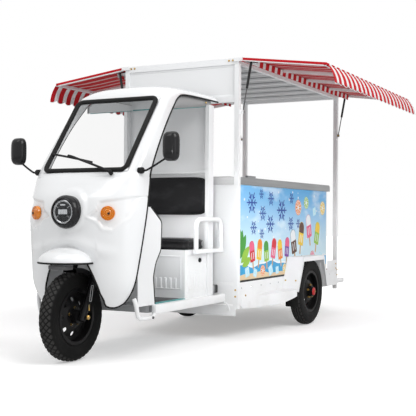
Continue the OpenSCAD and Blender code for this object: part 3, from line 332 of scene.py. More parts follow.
counter_steel = brushed("counter_steel", (0.36, 0.365, 0.37), (1.0, 0.04, 1.0), 0.35)
rod_steel = brushed("rod_steel", (0.62, 0.63, 0.64), (1.0, 1.0, 0.1), 0.24)
strut_grey = brushed("strut_grey", (0.13, 0.13, 0.135), (1.0, 1.0, 0.1), 0.35, 0.8)
lip_steel = brushed("lip_steel", (0.66, 0.665, 0.67), (0.04, 1.0, 1.0), 0.42, 0.25)
yellow_zinc = finish("yellow_zinc", (0.6, 0.36, 0.09), 0.34, lambda at: {
    "Base Color": blended(step(cloud(at, 120.0), 0.4, 0.65), (0.62, 0.36, 0.08), (0.42, 0.38, 0.22)),
    "Roughness": cloud(at, 200.0) * 0.2 + 0.24}, metallic=1.0)
mirror_glass = polished("mirror_glass", (0.85, 0.87, 0.88), 8.0, 0.03, 0.015, metallic=1.0)
lamp_chrome = polished("lamp_chrome", (0.72, 0.73, 0.75), 60.0, 0.12, 0.06, metallic=1.0)
led_white = polished("led_white", (0.85, 0.86, 0.88), 300.0, 0.2, 0.15,
                     emission_color=(0.9, 0.95, 1.0, 1.0), emission_strength=0.25)
screen_glass = finish("screen_glass", (0.05, 0.06, 0.06), 0.03, lambda at: {
    "Alpha": cloud(at, 1.8, 2.0) * 0.03 + 0.03, "Roughness": cloud(at, 5.0) * 0.03 + 0.01})
lamp_glass = finish("lamp_glass", (0.06, 0.065, 0.07), 0.03, lambda at: {
    "Alpha": cloud(at, 20.0) * 0.06 + 0.2, "Roughness": cloud(at, 9.0) * 0.03 + 0.02})

# %% [markdown]
# ## Meshes from grids
# A surface is a grid of points, worked out for all rows and columns at once, and a list of cells.
# put() joins such grids into one piece, turns their faces outwards, welds seams and poles, and
# hands the piece to a body of the frame.

# %% Grids
def quads_of(rows, cols, wrap_rows=False, wrap_cols=False):
    """Corner numbers of every cell of a grid of rows x cols points, numbered row by row."""
    row, col = np.meshgrid(np.arange(rows if wrap_rows else rows - 1),
                           np.arange(cols if wrap_cols else cols - 1), indexing="ij")
    low, far = (row + 1) % rows, (col + 1) % cols
    corners = [row * cols + col, row * cols + far, low * cols + far, low * cols + col]
    return np.stack(corners, -1).reshape(-1, 4)


def sheet_of(points):
    """An open sheet: the points with the cells between their rows and columns."""
    return points, quads_of(*points.shape[:2])


def tube_of(rings):
    """Rings of points joined into a tube, each ring closed on itself."""
    return rings, quads_of(*rings.shape[:2], False, True)


def capped(rings):
    """A tube whose first and last ring are closed at their middles."""
    caps = [np.repeat(rings[[k]].mean(1, keepdims=True), rings.shape[1], 1) for k in (0, -1)]
    return tube_of(np.concatenate([caps[0], rings, caps[1]]))


def both(*grids):
    """The grids, and after them their mirror images on the vehicle's other side."""
    return list(grids) + [(points * [-1, 1, 1], cells) for points, cells in grids]


def unit(vectors):
    """Vectors divided by their own lengths."""
    return vectors / np.maximum(np.linalg.norm(vectors, axis=-1, keepdims=True), 1e-9)


print("a 3 x 3 grid has", len(quads_of(3, 3)), "cells")

# %% [markdown]
# Spun and mirrored grids can come out inside out, so each grid is turned round if its faces look
# inwards. Only then are the grids joined into one mesh and the seams and poles merged.

# %% Meshes
WELD, SLIVER = 2e-6, 1e-6


def joined(grids, away_from):
    """All grids as one array of points in metres and one of cells. Normals times the way out from the
    grid's middle, or from away_from, are summed; a negative sum turns the grid's cells round."""
    points, cells, count = [], [], 0
    for grid, quads in grids:
        flat = placed(grid).reshape(-1, 3)
        a, b, c, d = (flat[quads[:, k]] for k in range(4))
        origin = flat.mean(0) if away_from is None else placed(away_from)
        if (np.cross(c - a, d - b) * ((a + b + c + d) / 4 - origin)).sum() < 0:
            quads = quads[:, ::-1]
        points.append(flat)
        cells.append(quads + count)
        count += len(flat)
    return np.concatenate(points), np.concatenate(cells).astype(np.int32)


def welded(name, points, cells):
    """A smooth mesh of points and four-cornered cells, with doubled points merged."""
    mesh = bpy.data.meshes.new(name)
    mesh.vertices.add(len(points))
    mesh.vertices.foreach_set("co", points.ravel())
    mesh.loops.add(cells.size)
    mesh.loops.foreach_set("vertex_index", cells.ravel())
    mesh.polygons.add(len(cells))
    mesh.polygons.foreach_set("loop_start", np.arange(0, cells.size, 4, dtype=np.int32))
    mesh.update(calc_edges=True)
    work = bmesh.new()
    work.from_mesh(mesh)
    bmesh.ops.remove_doubles(work, verts=work.verts, dist=WELD)
    bmesh.ops.dissolve_degenerate(work, edges=work.edges, dist=SLIVER)
    work.to_mesh(mesh)
    work.free()
    mesh.polygons.foreach_set("use_smooth", np.ones(len(mesh.polygons), bool))
    return mesh


print("seams weld within", WELD * 1000, "mm")

# %% [markdown]
# A piece needs more than a mesh: a finish, a body of the frame to ride on, and the CAD nodes that it
# stands for. Most pieces ride on the vehicle itself.

# %% Pieces
def put(name, grids, look_of, body="vehicle", stands_for=(), away_from=None, sharp=40.0):
    """One piece from (points, cells) grids in millimetres. Faces turn outwards by the volume that
    they close, or, for an open sheet, away from a point; edges over sharp degrees stay crisp."""
    mesh = welded(name, *joined(grids, away_from))
    mesh.set_sharp_from_angle(angle=math.radians(sharp))
    mesh.materials.append(look_of)
    piece = bpy.data.objects.new(name, mesh)
    scene.collection.objects.link(piece)
    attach(piece, body)
    if stands_for:
        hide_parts(*stands_for)
    print(name, len(mesh.polygons), "faces")
    return piece


def thicken(piece, millimetres, offset=-1.0):
    """Gives a sheet its thickness with a Solidify modifier; offset -1 grows it inwards."""
    wall = piece.modifiers.new("wall", "SOLIDIFY")
    wall.thickness = millimetres / 1000
    wall.offset = offset
    wall.use_even_offset = True


print("CAD nodes to dress or stand for:", len(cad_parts))

# %% [markdown]
# Three families cover most pieces: a profile carried along a path (tubes, trims, seals), a profile
# turned about an axis (lamps, caps, nuts), and a box whose edges are rounded (blocks, strips).

# %% Carried and turned shapes
def carried(path, profile, up, closed=False):
    """A profile carried along a path. Its first number runs along up x tangent, its second along
    tangent x that; open ends shrink to the path's end points."""
    path = np.asarray(path, float)
    tangent = np.roll(path, -1, 0) - np.roll(path, 1, 0) if closed else np.gradient(path, axis=0)
    tangent = unit(tangent)
    side = unit(np.cross(np.broadcast_to(np.asarray(up, float), path.shape), tangent))
    top = np.cross(tangent, side)
    rings = path[:, None] + profile[None, :, :1] * side[:, None] + profile[None, :, 1:] * top[:, None]
    if not closed:
        ends = [np.repeat(path[k:k + 1, None], len(profile), 1) for k in (0, len(path) - 1)]
        rings = np.concatenate([ends[0], rings, ends[1]])
    return rings, quads_of(len(rings), len(profile), closed, True)


def ring_of(radius, count=12):
    """A circle as count points: radius times the cosine and sine of even angles."""
    angle = np.arange(count) * 2 * np.pi / count
    return radius * np.stack([np.cos(angle), np.sin(angle)], -1)


def turned(profile, at, along, count=48):
    """A profile of (distance along the axis, radius) turned about the axis through at."""
    along = unit(np.asarray(along, float))
    first = unit(np.cross(along, [0.31, 0.27, 0.91]))
    second = np.cross(along, first)
    profile = np.asarray(profile, float)
    rim = ring_of(1.0, count)
    spokes = rim[:, :1] * first + rim[:, 1:] * second
    return tube_of(np.asarray(at, float) + profile[:, None, :1] * along + profile[:, None, 1:] * spokes)


print("a turned line of two points has", len(turned([(0, 1), (1, 1)], (0, 0, 0), (0, 0, 1))[1]), "cells")

# %% [markdown]
# A box with rounded edges is a ball pulled apart. Its rings run round the vertical axis and are closed
# by a pole at each end, as the seat pads are later.

# %% Rounded boxes
def poled(shell, middle=0.0):
    """Rings about the Z axis closed at their ends on that axis, then moved to their middle."""
    poles = [np.zeros((1, shell.shape[1], 3)) + shell[k, 0] * [0, 0, 1] for k in (0, -1)]
    return tube_of(np.concatenate([poles[0], shell, poles[1]]) + middle)


def soft_box(low, high, radius, steps=3):
    """A box with rounded edges: a ball whose eight eighths are pushed out to the corners."""
    low, high = np.asarray(low, float), np.asarray(high, float)
    half, middle = (high - low) / 2 - radius, (low + high) / 2
    quarter = np.linspace(0, np.pi / 2, steps + 1)
    spin = np.concatenate([quarter + k * np.pi / 2 for k in range(4)])
    side_x, side_y = np.repeat([1, -1, -1, 1], steps + 1), np.repeat([1, 1, -1, -1], steps + 1)
    tilt = np.concatenate([quarter - np.pi / 2, quarter])
    side_z = np.repeat([-1, 1], steps + 1)
    x = side_x * half[0] + radius * np.cos(tilt)[:, None] * np.cos(spin)
    y = side_y * half[1] + radius * np.cos(tilt)[:, None] * np.sin(spin)
    z = np.broadcast_to((side_z * half[2] + radius * np.sin(tilt))[:, None], x.shape)
    return poled(np.stack([x, y, z], -1), middle)


print("a soft box has", len(soft_box((0, 0, 0), (9, 9, 9), 1)[1]), "cells")

# %% [markdown]
# Paths come in two kinds: straight runs with eased corners, like a bent tube, and smooth lines
# through a few points. A rounded bar serves as a seal's path and as a printed shape.

# %% Paths and outlines
def eased(points, cut, steps=6):
    """A path with each corner replaced by a curve that starts cut millimetres before it."""
    points = np.asarray(points, float)
    before, at, after = points[:-2], points[1:-1], points[2:]
    start, stop = at + cut * unit(before - at), at + cut * unit(after - at)
    s = np.linspace(0, 1, steps + 1)[None, :, None]
    bends = (1 - s) ** 2 * start[:, None] + 2 * s * (1 - s) * at[:, None] + s ** 2 * stop[:, None]
    return np.concatenate([points[:1], bends.reshape(-1, 3), points[-1:]])


def between(a, b, c, d, u):
    """The Catmull-Rom cubic: from b to c as u goes from 0 to 1, with a before and d after them."""
    square, cubic = 2 * a - 5 * b + 4 * c - d, 3 * b - a - 3 * c + d
    return 0.5 * (2 * b + u * (c - a) + u ** 2 * square + u ** 3 * cubic)


def through(points, count):
    """A smooth line through points (a Catmull-Rom spline), as count points."""
    points = np.asarray(points, float)
    padded = np.concatenate([points[:1], points, points[-1:]])
    t = np.linspace(0, len(points) - 1 - 1e-9, count)
    i = t.astype(int)
    return between(*(padded[i + k] for k in range(4)), (t - i)[:, None])


def bar_shape(half_wide, low, high, top_round, foot_round, count=8):
    """A bar with round corners, from its half width, its two ends and the corners' radii."""
    quarter = np.linspace(0, np.pi / 2, count)
    corners = ((1, high - top_round, top_round), (-1, high - top_round, top_round),
               (-1, low + foot_round, foot_round), (1, low + foot_round, foot_round))
    arcs = []
    for k, (sign, up, r) in enumerate(corners):
        turn = quarter + k * np.pi / 2
        arcs.append([sign * (half_wide - r), up] + r * np.stack([np.cos(turn), np.sin(turn)], -1))
    return np.concatenate(arcs)


def smooth(value):
    """0 below 0, 1 above 1 and three squares less two cubes between them."""
    value = np.clip(value, 0, 1)
    return value * value * (3 - 2 * value)


print("a bar's outline has", len(bar_shape(9, 0, 30, 4, 4)), "points")

# %% [markdown]
# ## Light
# A plain pale studio: soft lights from the front, the left side and above, a low one at the door, a
# narrow beam onto the cart's front panel, a small one inside the cab, and an even sky. The sky shows
# white to the camera and in glass and metal, and is dimmer where it lights the object.

# %% Lamps and sky
def lamp(name, at, aim, size, power, spread=180.0):
    """A square soft light that faces a point, in metres; a small spread in degrees is a beam."""
    data = bpy.data.lights.new(name, "AREA")
    data.size = size
    data.energy = power
    data.spread = math.radians(spread)
    made = bpy.data.objects.new(name, data)
    back = unit(np.asarray(at, float) - np.asarray(aim, float))
    side = unit(np.cross([0, 0, 1], back))
    stand(made, side, np.cross(back, side), back, at)
    made.visible_camera = False
    print(name, power, "W")


lamp("key_light", (-1.8, -5.4, 7.4), (0, -0.4, 0.9), 4.0, 135.0)
lamp("side_light", (5.4, -2.6, 5.8), (0, 0.2, 1.0), 4.0, 285.0)
lamp("door_light", (5.0, -3.0, 1.3), (0.2, 0.3, 0.7), 2.4, 14.0)
lamp("panel_light", (1.75, -3.8, 1.0), (0.5, -0.33, 0.78), 0.4, 1.0, 20.0)
lamp("cab_light", (0.05, -1.05, 0.92), (0.12, -0.43, 0.75), 0.4, 0.28, 75.0)
lamp("top_light", (0.0, 0.5, 7.0), (0, 0.2, 0), 5.0, 45.0)
world = bpy.data.worlds.new("studio")
world.use_nodes = True
scene.world = world
sky = Wire(world.node_tree)
rays = sky.node("ShaderNodeLightPath")
seen = sky.sum("MAXIMUM", rays["Is Camera Ray"], rays["Is Glossy Ray"])
seen = sky.sum("MAXIMUM", seen, rays["Is Transmission Ray"])
backdrop = world.node_tree.nodes["Background"].inputs
backdrop["Color"].default_value = (1, 1, 1, 1)
world.node_tree.links.new((seen * 0.4 + 0.6).socket, backdrop["Strength"])

# %% [markdown]
# ## Floor
# One big pale floor takes the shadow. It glows faintly to the camera near the object and fully far
# away, so it runs into the white sky without an edge.

# %% Floor
def floor_recipe(at):
    """Glow seen by the camera: 0.32 near the middle, rising to 1 between 1.8 m and 5 m."""
    away = at.node("ShaderNodeVectorMath", {"operation": "LENGTH"}, {0: at})["Value"]
    camera_ray = at.node("ShaderNodeLightPath")["Is Camera Ray"]
    return {"Emission Color": camera_ray * (step(away, 1.8, 5.0) * 0.68 + 0.32)}


FLOOR = 30
floor_mesh = bpy.data.meshes.new("studio_floor")
floor_corners = [(-FLOOR, -FLOOR, 0), (FLOOR, -FLOOR, 0), (FLOOR, FLOOR, 0), (-FLOOR, FLOOR, 0)]
floor_mesh.from_pydata(floor_corners, [], [(0, 1, 2, 3)])
floor_mesh.materials.append(finish("floor_white", (0.82, 0.82, 0.82), 0.9, floor_recipe,
                                   specular_ior_level=0.1, emission_strength=1.0))
studio_floor = bpy.data.objects.new("studio_floor", floor_mesh)
scene.collection.objects.link(studio_floor)

# %% [markdown]
# ## The cab's skin as one formula
# The real cab is a few big mouldings that flow into each other. Here they are one surface: stations
# up the middle line say where it is, how wide it is, where its door edge lies and how square its
# section is, and a spline runs through them. The CAD solids have the same middle line. To be nearer
# to the picture, the wheel arch is narrower here, and the lower door corner and the door edge at the
# pillar's top lie a few centimetres off theirs.

# %% Skin formula
STATIONS = np.array([
    [300, 15, 150, 300, 85, 2.6], [360, 2, 82, 360, 111, 2.6], [455, -14, 34, 455, 125, 2.7],
    [600, -30, 18, 600, 152, 2.8], [770, -42, 4, 770, 178, 2.8], [870, -42, 0, 870, 197, 2.8],
    [960, -20, 0, 960, 214, 3], [1040, 36, 2, 1040, 230, 3.6], [1118, 100, 6, 1118, 250, 5],
    [1240, 190, 14, 1240, 322, 5.5], [1420, 324, 28, 1413, 448, 5.5], [1600, 458, 44, 1558, 578, 5],
    [1650, 508, 50, 1606, 630, 3.6], [1685, 590, 55, 1633, 690, 2.8], [1705, 730, 59, 1643, 800, 2.5],
    [1714, 960, 61, 1647, 990, 2.4], [1716, 1200, 62, 1648, 1200, 2.4]])
LAST = len(STATIONS) - 1
SCREEN_LOW, SCREEN_TOP = 8, 11
CAB_HALF, SCREEN_HALF = 390.0, 308.0


def station(h):
    """Middle z and y, width lost, edge z and y, and squareness at station number h (a spline)."""
    h = np.clip(np.asarray(h, float), 0, LAST)
    i = np.minimum(h.astype(int), LAST - 1)
    around = (STATIONS[np.clip(i + k, 0, LAST)] for k in (-1, 0, 1, 2))
    return between(*around, (h - i)[..., None])


def skin(h, angle):
    """A point of the skin: angle 0 is the middle line and 90 the left door edge. The section is a
    superellipse, so its reach and fall are powers of the angle's sine and cosine."""
    z, y, lost, edge_z, edge_y, square = np.moveaxis(station(h), -1, 0)
    a = np.radians(np.abs(angle))
    reach = np.clip(np.sin(a), 0, 1) ** (2 / square)
    fall = 1 - np.clip(np.cos(a), 0, 1) ** (2 / square)
    x = np.sign(angle) * (CAB_HALF - lost) * reach
    return np.stack([x, y + (edge_y - y) * fall, z + (edge_z - z) * fall], -1)


def angle_at(h, x):
    """The angle at which the skin is x millimetres from the middle line."""
    s = station(h)
    share = np.clip(np.abs(x) / (CAB_HALF - s[..., 2]), 0, 1)
    return np.degrees(np.arcsin(share ** (s[..., 5] / 2)))


print("the cowl's nose is at", skin(5, 0.0).round(1), "mm")

# %% [markdown]
# The cowl's lower edge is cut to a line: the wheel arch in front, the apron beside it and the door's
# corner. The grid's columns are spread so that one of them runs up each side of the windscreen.

# %% Lower edge and columns
FOOT = np.array([[0, 592], [12, 592], [13.5, 572], [20.0, 503], [23.4, 461], [29.8, 408],
                 [40.9, 350], [48, 335], [59, 327], [75, 326], [84, 332], [90, 345]])


def foot(angle):
    """Station number of the cowl's lower edge: wheel arch, apron and door corner."""
    height = np.interp(np.abs(angle), FOOT[:, 0], FOOT[:, 1])
    return np.interp(height, STATIONS[:12, 0], np.arange(12))


def column_angle(t, h):
    """Columns of the grid: |t| below 1 is even over the screen's width, 1 to 2 over the pillar."""
    edge = np.minimum(SCREEN_HALF, 0.93 * (CAB_HALF - station(h)[..., 2]))
    inner = angle_at(h, np.minimum(np.abs(t), 1) * edge)
    outer = 90 - (90 - angle_at(h, edge)) * (2 - np.clip(np.abs(t), 1, 2)) ** 2
    return np.sign(t) * np.where(np.abs(t) <= 1, inner, outer)


print("the apron's lower edge is", FOOT[:, 1].min(), "mm up")

# %% [markdown]
# The cowl carries pressed shapes: a sunk eye round each turn signal, a raised collar round the
# headlamp, a brow over the front wheel and a fine step below the screen. Each is a height in
# millimetres over the front view, added along the skin's normal.

# %% Pressed shapes
EYE_OUTLINE = np.array([(140, 850), (205, 826), (232, 786), (282, 778), (352, 846), (392, 972),
                        (330, 958), (204, 938), (188, 892)])


def inside_by(x, z, outline):
    """Distance inside a closed outline, negative outside, for whole arrays of points."""
    nearest = np.full(x.shape, 1e9)
    crossed = np.zeros(x.shape, bool)
    for (x0, z0), (x1, z1) in zip(outline, np.roll(outline, -1, 0)):
        dx, dz = x1 - x0, z1 - z0
        s = np.clip(((x - x0) * dx + (z - z0) * dz) / (dx * dx + dz * dz), 0, 1)
        nearest = np.minimum(nearest, np.hypot(x - x0 - s * dx, z - z0 - s * dz))
        spans = (z0 > z) != (z1 > z)
        crossed ^= spans & (x < x0 + (z - z0) * dx / np.where(dz == 0, 1e-9, dz))
    return np.where(crossed, nearest, -nearest)


def pressed(x, z):
    """Height of the cowl's pressed shapes over its plain skin: steps and bell curves, summed."""
    x = np.abs(x)
    depth = inside_by(x, z, EYE_OUTLINE)
    eye = -9.0 * smooth((depth + 3) / 11)
    lip = 3.6 * np.exp(-((depth + 10) / 9) ** 2) * smooth((925 - z) / 60)
    collar = 7.0 * smooth((142 - np.hypot(x, z - 886)) / 34)
    brow_line = 634 + 74 * np.exp(-(x / 185) ** 2)
    brow = 11.0 * np.exp(-((z - brow_line) / 33) ** 2) * smooth((365 - x) / 180)
    shoulder = -2.2 * smooth((z - 1083) / 8)
    return (eye + lip + collar + brow) * smooth((1075 - z) / 40) + shoulder


print("the eye is pressed in by", round(-float(pressed(np.array(263.0), np.array(870.0))), 1), "mm")

# %% [markdown]
# The skin's grid follows the windscreen: one line of columns runs up each side of the opening, so
# the cells inside it are simply left out. The walls get their thickness inwards.

# %% Cab skin
COWL_ROWS, SCREEN_ROWS, ROOF_ROWS = 96, 45, 65
PRESSED_TOP = 1125
columns = np.concatenate([np.linspace(-2, -1, 25), np.linspace(-1, 1, 83)[1:-1], np.linspace(1, 2, 25)])
low_end = np.full(columns.shape, 3.0)
# The edge's height depends on the angle and the angle on the height, so they take turns until they agree.
for _ in range(30):
    low_end = foot(column_angle(columns, low_end))
cowl_rise = np.linspace(0, 1, COWL_ROWS + 1)[:, None]
screen_rise = np.linspace(SCREEN_LOW, SCREEN_TOP, SCREEN_ROWS + 1)[1:, None]
roof_rise = np.linspace(SCREEN_TOP, LAST, ROOF_ROWS + 1)[1:, None]
even = np.zeros(columns.shape)
cowl_rows = low_end + (SCREEN_LOW - low_end) * cowl_rise
rows = np.concatenate([cowl_rows, screen_rise + even, roof_rise + even])
shell = skin(rows, column_angle(np.broadcast_to(columns, rows.shape), rows))
normals = unit(np.cross(np.gradient(shell, axis=1), np.gradient(shell, axis=0)))
relief = pressed(shell[..., 0], shell[..., 2])[..., None] * (shell[..., 2:] < PRESSED_TOP)
shell = shell + normals * relief
cells = quads_of(*rows.shape)
row_of, left_of = cells.min(1) // len(columns), columns[cells.min(1) % len(columns)]
beside_screen = (row_of >= COWL_ROWS) & (row_of < COWL_ROWS + SCREEN_ROWS)
opening = beside_screen & (left_of >= -1) & (left_of < 1)
cab_skin = put("cab_skin", [(shell, cells[~opening])], cab_white,
               stands_for=["cab_cowl", "cab_pillars", "cab_roof"], away_from=(0, 600, 900))
thicken(cab_skin, 5.0)

# %% [markdown]
# ## Black edge trim
# A rubber strip is pressed over the cowl's raw edge: up the wheel arch, round the apron, up the
# door edge and along the roof. The same strip edges the nose guard's lip; the guard is part of an egg.

# %% Trim and nose guard
NOSE_MID, NOSE_HALF = np.array([0, -60, 582.0]), np.array([168, 140, 87.0])
NOSE_WRAP = 112
arch = np.linspace(12.2, 90, 90)
door = np.linspace(float(foot(90.0)) + 0.1, LAST, 160)
edge_line = np.concatenate([skin(foot(arch), arch), skin(door, np.full(door.shape, 90.0))])


def nose(across_angle, rise_angle):
    """The nose guard: an egg's half axes times the sines and cosines of its two angles."""
    a, b = np.radians(across_angle), np.radians(rise_angle)
    return NOSE_MID + NOSE_HALF * np.stack([np.sin(a) * np.cos(b), -np.cos(a) * np.cos(b), np.sin(b)], -1)


lip_line = nose(np.linspace(-NOSE_WRAP, NOSE_WRAP, 70), np.zeros(70)) - [0, 0, 2]
strip = ring_of(5.5, 10)
put("edge_trim_strip", both(carried(edge_line, strip, (1, 0.2, 0.1)))
    + [carried(lip_line, strip * [1.1, 1.0], (0, 0, 1))], trim_rubber,
    stands_for=["edge_trim"])
across_nose, up_nose = np.meshgrid(np.linspace(-NOSE_WRAP, NOSE_WRAP, 61), np.linspace(0, 89.5, 25))
nose_guard = put("nose_guard_shell", [sheet_of(nose(across_nose, up_nose))], cab_white,
                 stands_for=["nose_guard"], away_from=(0, -20, 590))
thicken(nose_guard, 4.0)

# %% [markdown]
# ## Windscreen
# A flat pane sits in a fat rubber seal with rounded corners. Both follow a rounded bar drawn on the
# screen's sloping plane, so one function puts points on that plane.

# %% Seal and glass
low_mid, top_mid = skin(SCREEN_LOW, 0.0), skin(SCREEN_TOP, 0.0)
SCREEN_LEN = np.linalg.norm(top_mid - low_mid)
slope = (top_mid - low_mid) / SCREEN_LEN
outward = np.array([0, -slope[2], slope[1]])
plane = np.stack([[1.0, 0, 0], slope, outward])


def on_screen(across_mm, up_mm, out_mm=0.0):
    """A point of the windscreen's plane, from across, up the slope and out of it."""
    return low_mid + np.stack(np.broadcast_arrays(across_mm, up_mm, out_mm), -1) @ plane


def frame_line(inset, radius):
    """A rounded bar inset from the opening's edge, as (across, up) points."""
    return bar_shape(SCREEN_HALF - inset, inset, SCREEN_LEN - inset, radius, radius, 14)


hump = np.array([(-17, -7), (-17, 1), (-13, 7), (-6, 10), (4, 9.5), (11, 6), (15, 1), (15, -7)], float)
seal = carried(on_screen(*frame_line(13, 36).T), hump, outward, closed=True)
put("windscreen_rubber", [seal], trim_rubber, stands_for=["windscreen_seal"], sharp=60)
pane = frame_line(20, 30)
pane_mid = np.array([0, SCREEN_LEN / 2])
faces = ((0.0, -2.5), (1.0, -2.5), (1.0, 2.5), (0.0, 2.5))
layers = np.stack([on_screen(*((pane - pane_mid) * size + pane_mid).T, out) for size, out in faces])
put("windscreen_pane", [tube_of(layers)], screen_glass, stands_for=["windscreen_glass"])

# %% [markdown]
# The opening in the skin has square corners and the seal has round ones. Four small fillets of the
# same white fill the space between: each is stretched from the seal's curve to the skin's corner.

# %% Corner fillets
CORNER, SEAL_CURVE = 49.0, 46.0
quarter = np.linspace(0, np.pi / 2, 13)
spread = np.linspace(0, 1, 5)[:, None, None]
reach = np.linspace(SCREEN_HALF - CORNER, SCREEN_HALF, 7)
fillets = []
for _, s in SIDES:
    for h0, h1, up0, bend in ((SCREEN_LOW, SCREEN_LOW + 0.32, CORNER, -1),
                              (SCREEN_TOP, SCREEN_TOP - 0.24, SCREEN_LEN - CORNER, 1)):
        curve = on_screen(s * (SCREEN_HALF - CORNER + SEAL_CURVE * np.sin(quarter)),
                          up0 + bend * SEAL_CURVE * np.cos(quarter), 1.0)
        level, climb = np.full(7, float(h0)), np.linspace(h0, h1, 7)
        flat = skin(level, s * angle_at(level, reach))
        upward = skin(climb, s * angle_at(climb, np.full(7, SCREEN_HALF)))
        border = np.concatenate([flat, upward[1:]])
        fillets.append(sheet_of(curve * (1 - spread) + border * spread))
thicken(put("screen_fillets", fillets, cab_white, away_from=(0, 700, 1300)), 4.0)

# %% [markdown]
# ## Wiper
# One wiper parks low across the screen. Its arm turns on a capped spindle below the seal, and a
# sprung blade is clipped across the arm's end, so both are ovals carried along short paths.

# %% Wiper
PIN, ARM_END = np.array([218.0, -24.0]), np.array([-127.0, 108.0])
BLADE_LEFT, BLADE_RIGHT = np.array([-284.0, 136.0]), np.array([46.0, 62.0])
blade_mid = (BLADE_LEFT + BLADE_RIGHT) / 2
arm_knee = PIN * 0.8 + ARM_END * 0.2
clip = np.array([26, -8])


def over_screen(points, radii, count):
    """An oval of two radii carried along (across, up, out) points over the windscreen."""
    return carried(on_screen(*through(points, count).T), ring_of(1.0, 12) * radii, outward)


spindle = [(4, 0), (4, 12), (24, 13), (31, 12), (35, 8), (36, 0)]
put("wiper_blade", [
    over_screen([(*PIN, 27), (*arm_knee, 29), (*ARM_END, 22)], [7.5, 5.0], 24),
    over_screen([(*BLADE_LEFT, 13), (*blade_mid, 17), (*BLADE_RIGHT, 13)], [7.2, 4.4], 30),
    over_screen([(*BLADE_LEFT, 9), (*blade_mid, 11), (*BLADE_RIGHT, 9)], [2.4, 5.4], 30),
    over_screen([(*(ARM_END + clip), 19), (*(ARM_END - clip), 19)], [8.0, 6.0], 6),
    turned(spindle, on_screen(*PIN), outward, 24)], matt_plastic, "wiper", ["wiper"])

# %% [markdown]
# ## Headlamp
# A black drum stands out of the cowl. Inside its bezel there is a dark bowl with a bright rim, a
# block of small lamps behind the glass and a light bar over it. All but the lamps and four bright
# spokes are profiles turned about the same axis.

# %% Headlamp
LAMP_AT, FORWARD = np.array([0, 0, 876.0]), np.array([0, -1.0, 0])


def lamp_part(profile):
    """A profile turned about the headlamp's axis."""
    return turned(profile, LAMP_AT, FORWARD, 72)


drum = [(30, 0), (30, 96), (58, 98), (72, 97), (85, 91), (94, 84), (98, 79), (98, 76), (94, 74),
        (88, 73), (88, 0)]
put("headlamp_drum", [lamp_part(drum)], gloss_black, stands_for=["headlamp_housing"],
    sharp=30)
bowl = [(88.5, 74), (89.5, 66), (88.8, 54), (88.6, 30), (88.6, 0)]
put("headlamp_bowl", [lamp_part(bowl)], matt_plastic, stands_for=["headlamp_lens"],
    away_from=LAMP_AT)
bright_bits = [lamp_part([(89, 68), (92, 70), (94, 66), (91.5, 60), (89, 58), (89, 68)])]
for tilt in np.radians([35, 145, 215, 325]):
    spoke = np.array([math.cos(tilt), 0, math.sin(tilt)])
    start = LAMP_AT + spoke * 38 + FORWARD * 90
    bright_bits.append(carried(np.linspace(start, start + spoke * 20, 4), ring_of(2.4, 8), FORWARD))
put("headlamp_ring", bright_bits, lamp_chrome)
leds = [soft_box((x - 6.5, -96, 862), (x + 6.5, -87, 890), 2.5) for x in (-24, -8, 8, 24)]
leds.append(soft_box((-17, -96, 912), (17, -87, 921), 3))
put("headlamp_leds", leds, led_white)
dome = [(95, 75.5), (97, 64), (98.5, 46), (99.5, 23), (99.8, 0)]
thicken(put("headlamp_cover", [lamp_part(dome)], lamp_glass, away_from=LAMP_AT), 1.5)

# %% [markdown]
# ## Turn signals
# Round amber lenses with moulded rings and a small dark eye in the middle. They lean outwards with
# the cowl, in the middle of its sunk eyes.

# %% Turn signals
amber_lens = finish("amber_lens", (0.7, 0.21, 0.006), 0.16, lambda at: {
    "Base Color": blended(step(cloud(at, 25.0), 0.3, 0.7), (0.72, 0.22, 0.006), (0.6, 0.17, 0.004)),
    "Roughness": cloud(at, 80.0) * 0.12 + 0.08}, coat_weight=0.3)
lean = math.radians(25)
signal_face = np.array([math.sin(lean), -math.cos(lean), 0])
signal_at = np.array([263, -18, 870.0])
lens_line = [(-20, 0), (-20, 41), (-2, 42), (2, 41), (3.5, 38), (0, 35), (4, 32), (7, 29), (3.5, 25),
             (8, 21), (9.5, 16), (5.5, 13), (8.5, 10), (9.5, 6), (9.8, 0)]
put("turn_signal_lenses", both(turned(lens_line, signal_at, signal_face, 48)), amber_lens,
    stands_for=["turn_signals"], sharp=50)
eye_line = [(6, 0), (6, 7), (10.2, 6.5), (11.5, 3), (11.8, 0)]
put("turn_signal_eyes", both(turned(eye_line, signal_at + [8, 0, -2], signal_face, 20)), gloss_black)

# %% [markdown]
# ## Tyres
# A tyre is its section turned about the axle, with the tread cut in: two families of slanting lines
# leave diamonds on the front tyre, and zigzag grooves leave ribs on the rear ones. Fine rings mark the
# walls.

# %% Tyre section
HUB_X, HUB_Y, HUB_Z = 540.0, 2325.0, 262.5
WALL_HALF = [(150.4, 37.5), (166, 37.6), (172, 42.5), (188, 46), (205, 47), (222, 46.6), (236, 45),
             (248, 40), (255.5, 33), (260, 24), (262, 12)]
INNER_HALF = [(150.4, 26.5), (190, 36), (225, 37), (250, 12)]
section = through([(r, -w) for r, w in WALL_HALF] + [(262.5, 0)] + WALL_HALF[::-1], 97)
inner_wall = np.array(INNER_HALF + [(r, -w) for r, w in INNER_HALF[::-1]])


def round_axle(wide, radius, angle):
    """Points at a width along an axle, a radius from it and an angle round it."""
    return np.stack([wide + 0 * angle, radius * np.cos(angle), radius * np.sin(angle)], -1)


print("the tyre's section is", round(float(np.ptp(section[:, 1])), 1), "mm wide")

# %% [markdown]
# The tread is a function of the turn round the tyre and the place across it, 1 in a groove and 0 on
# a block. The grid is fine enough to cut the grooves into the mesh itself. Each point also keeps a
# worn value for the rubber's colour: greyer tops, partly road wear and partly a painted highlight,
# against grooves kept dark as painted shade.

# %% Treads
TREAD_DEPTH = 4.0


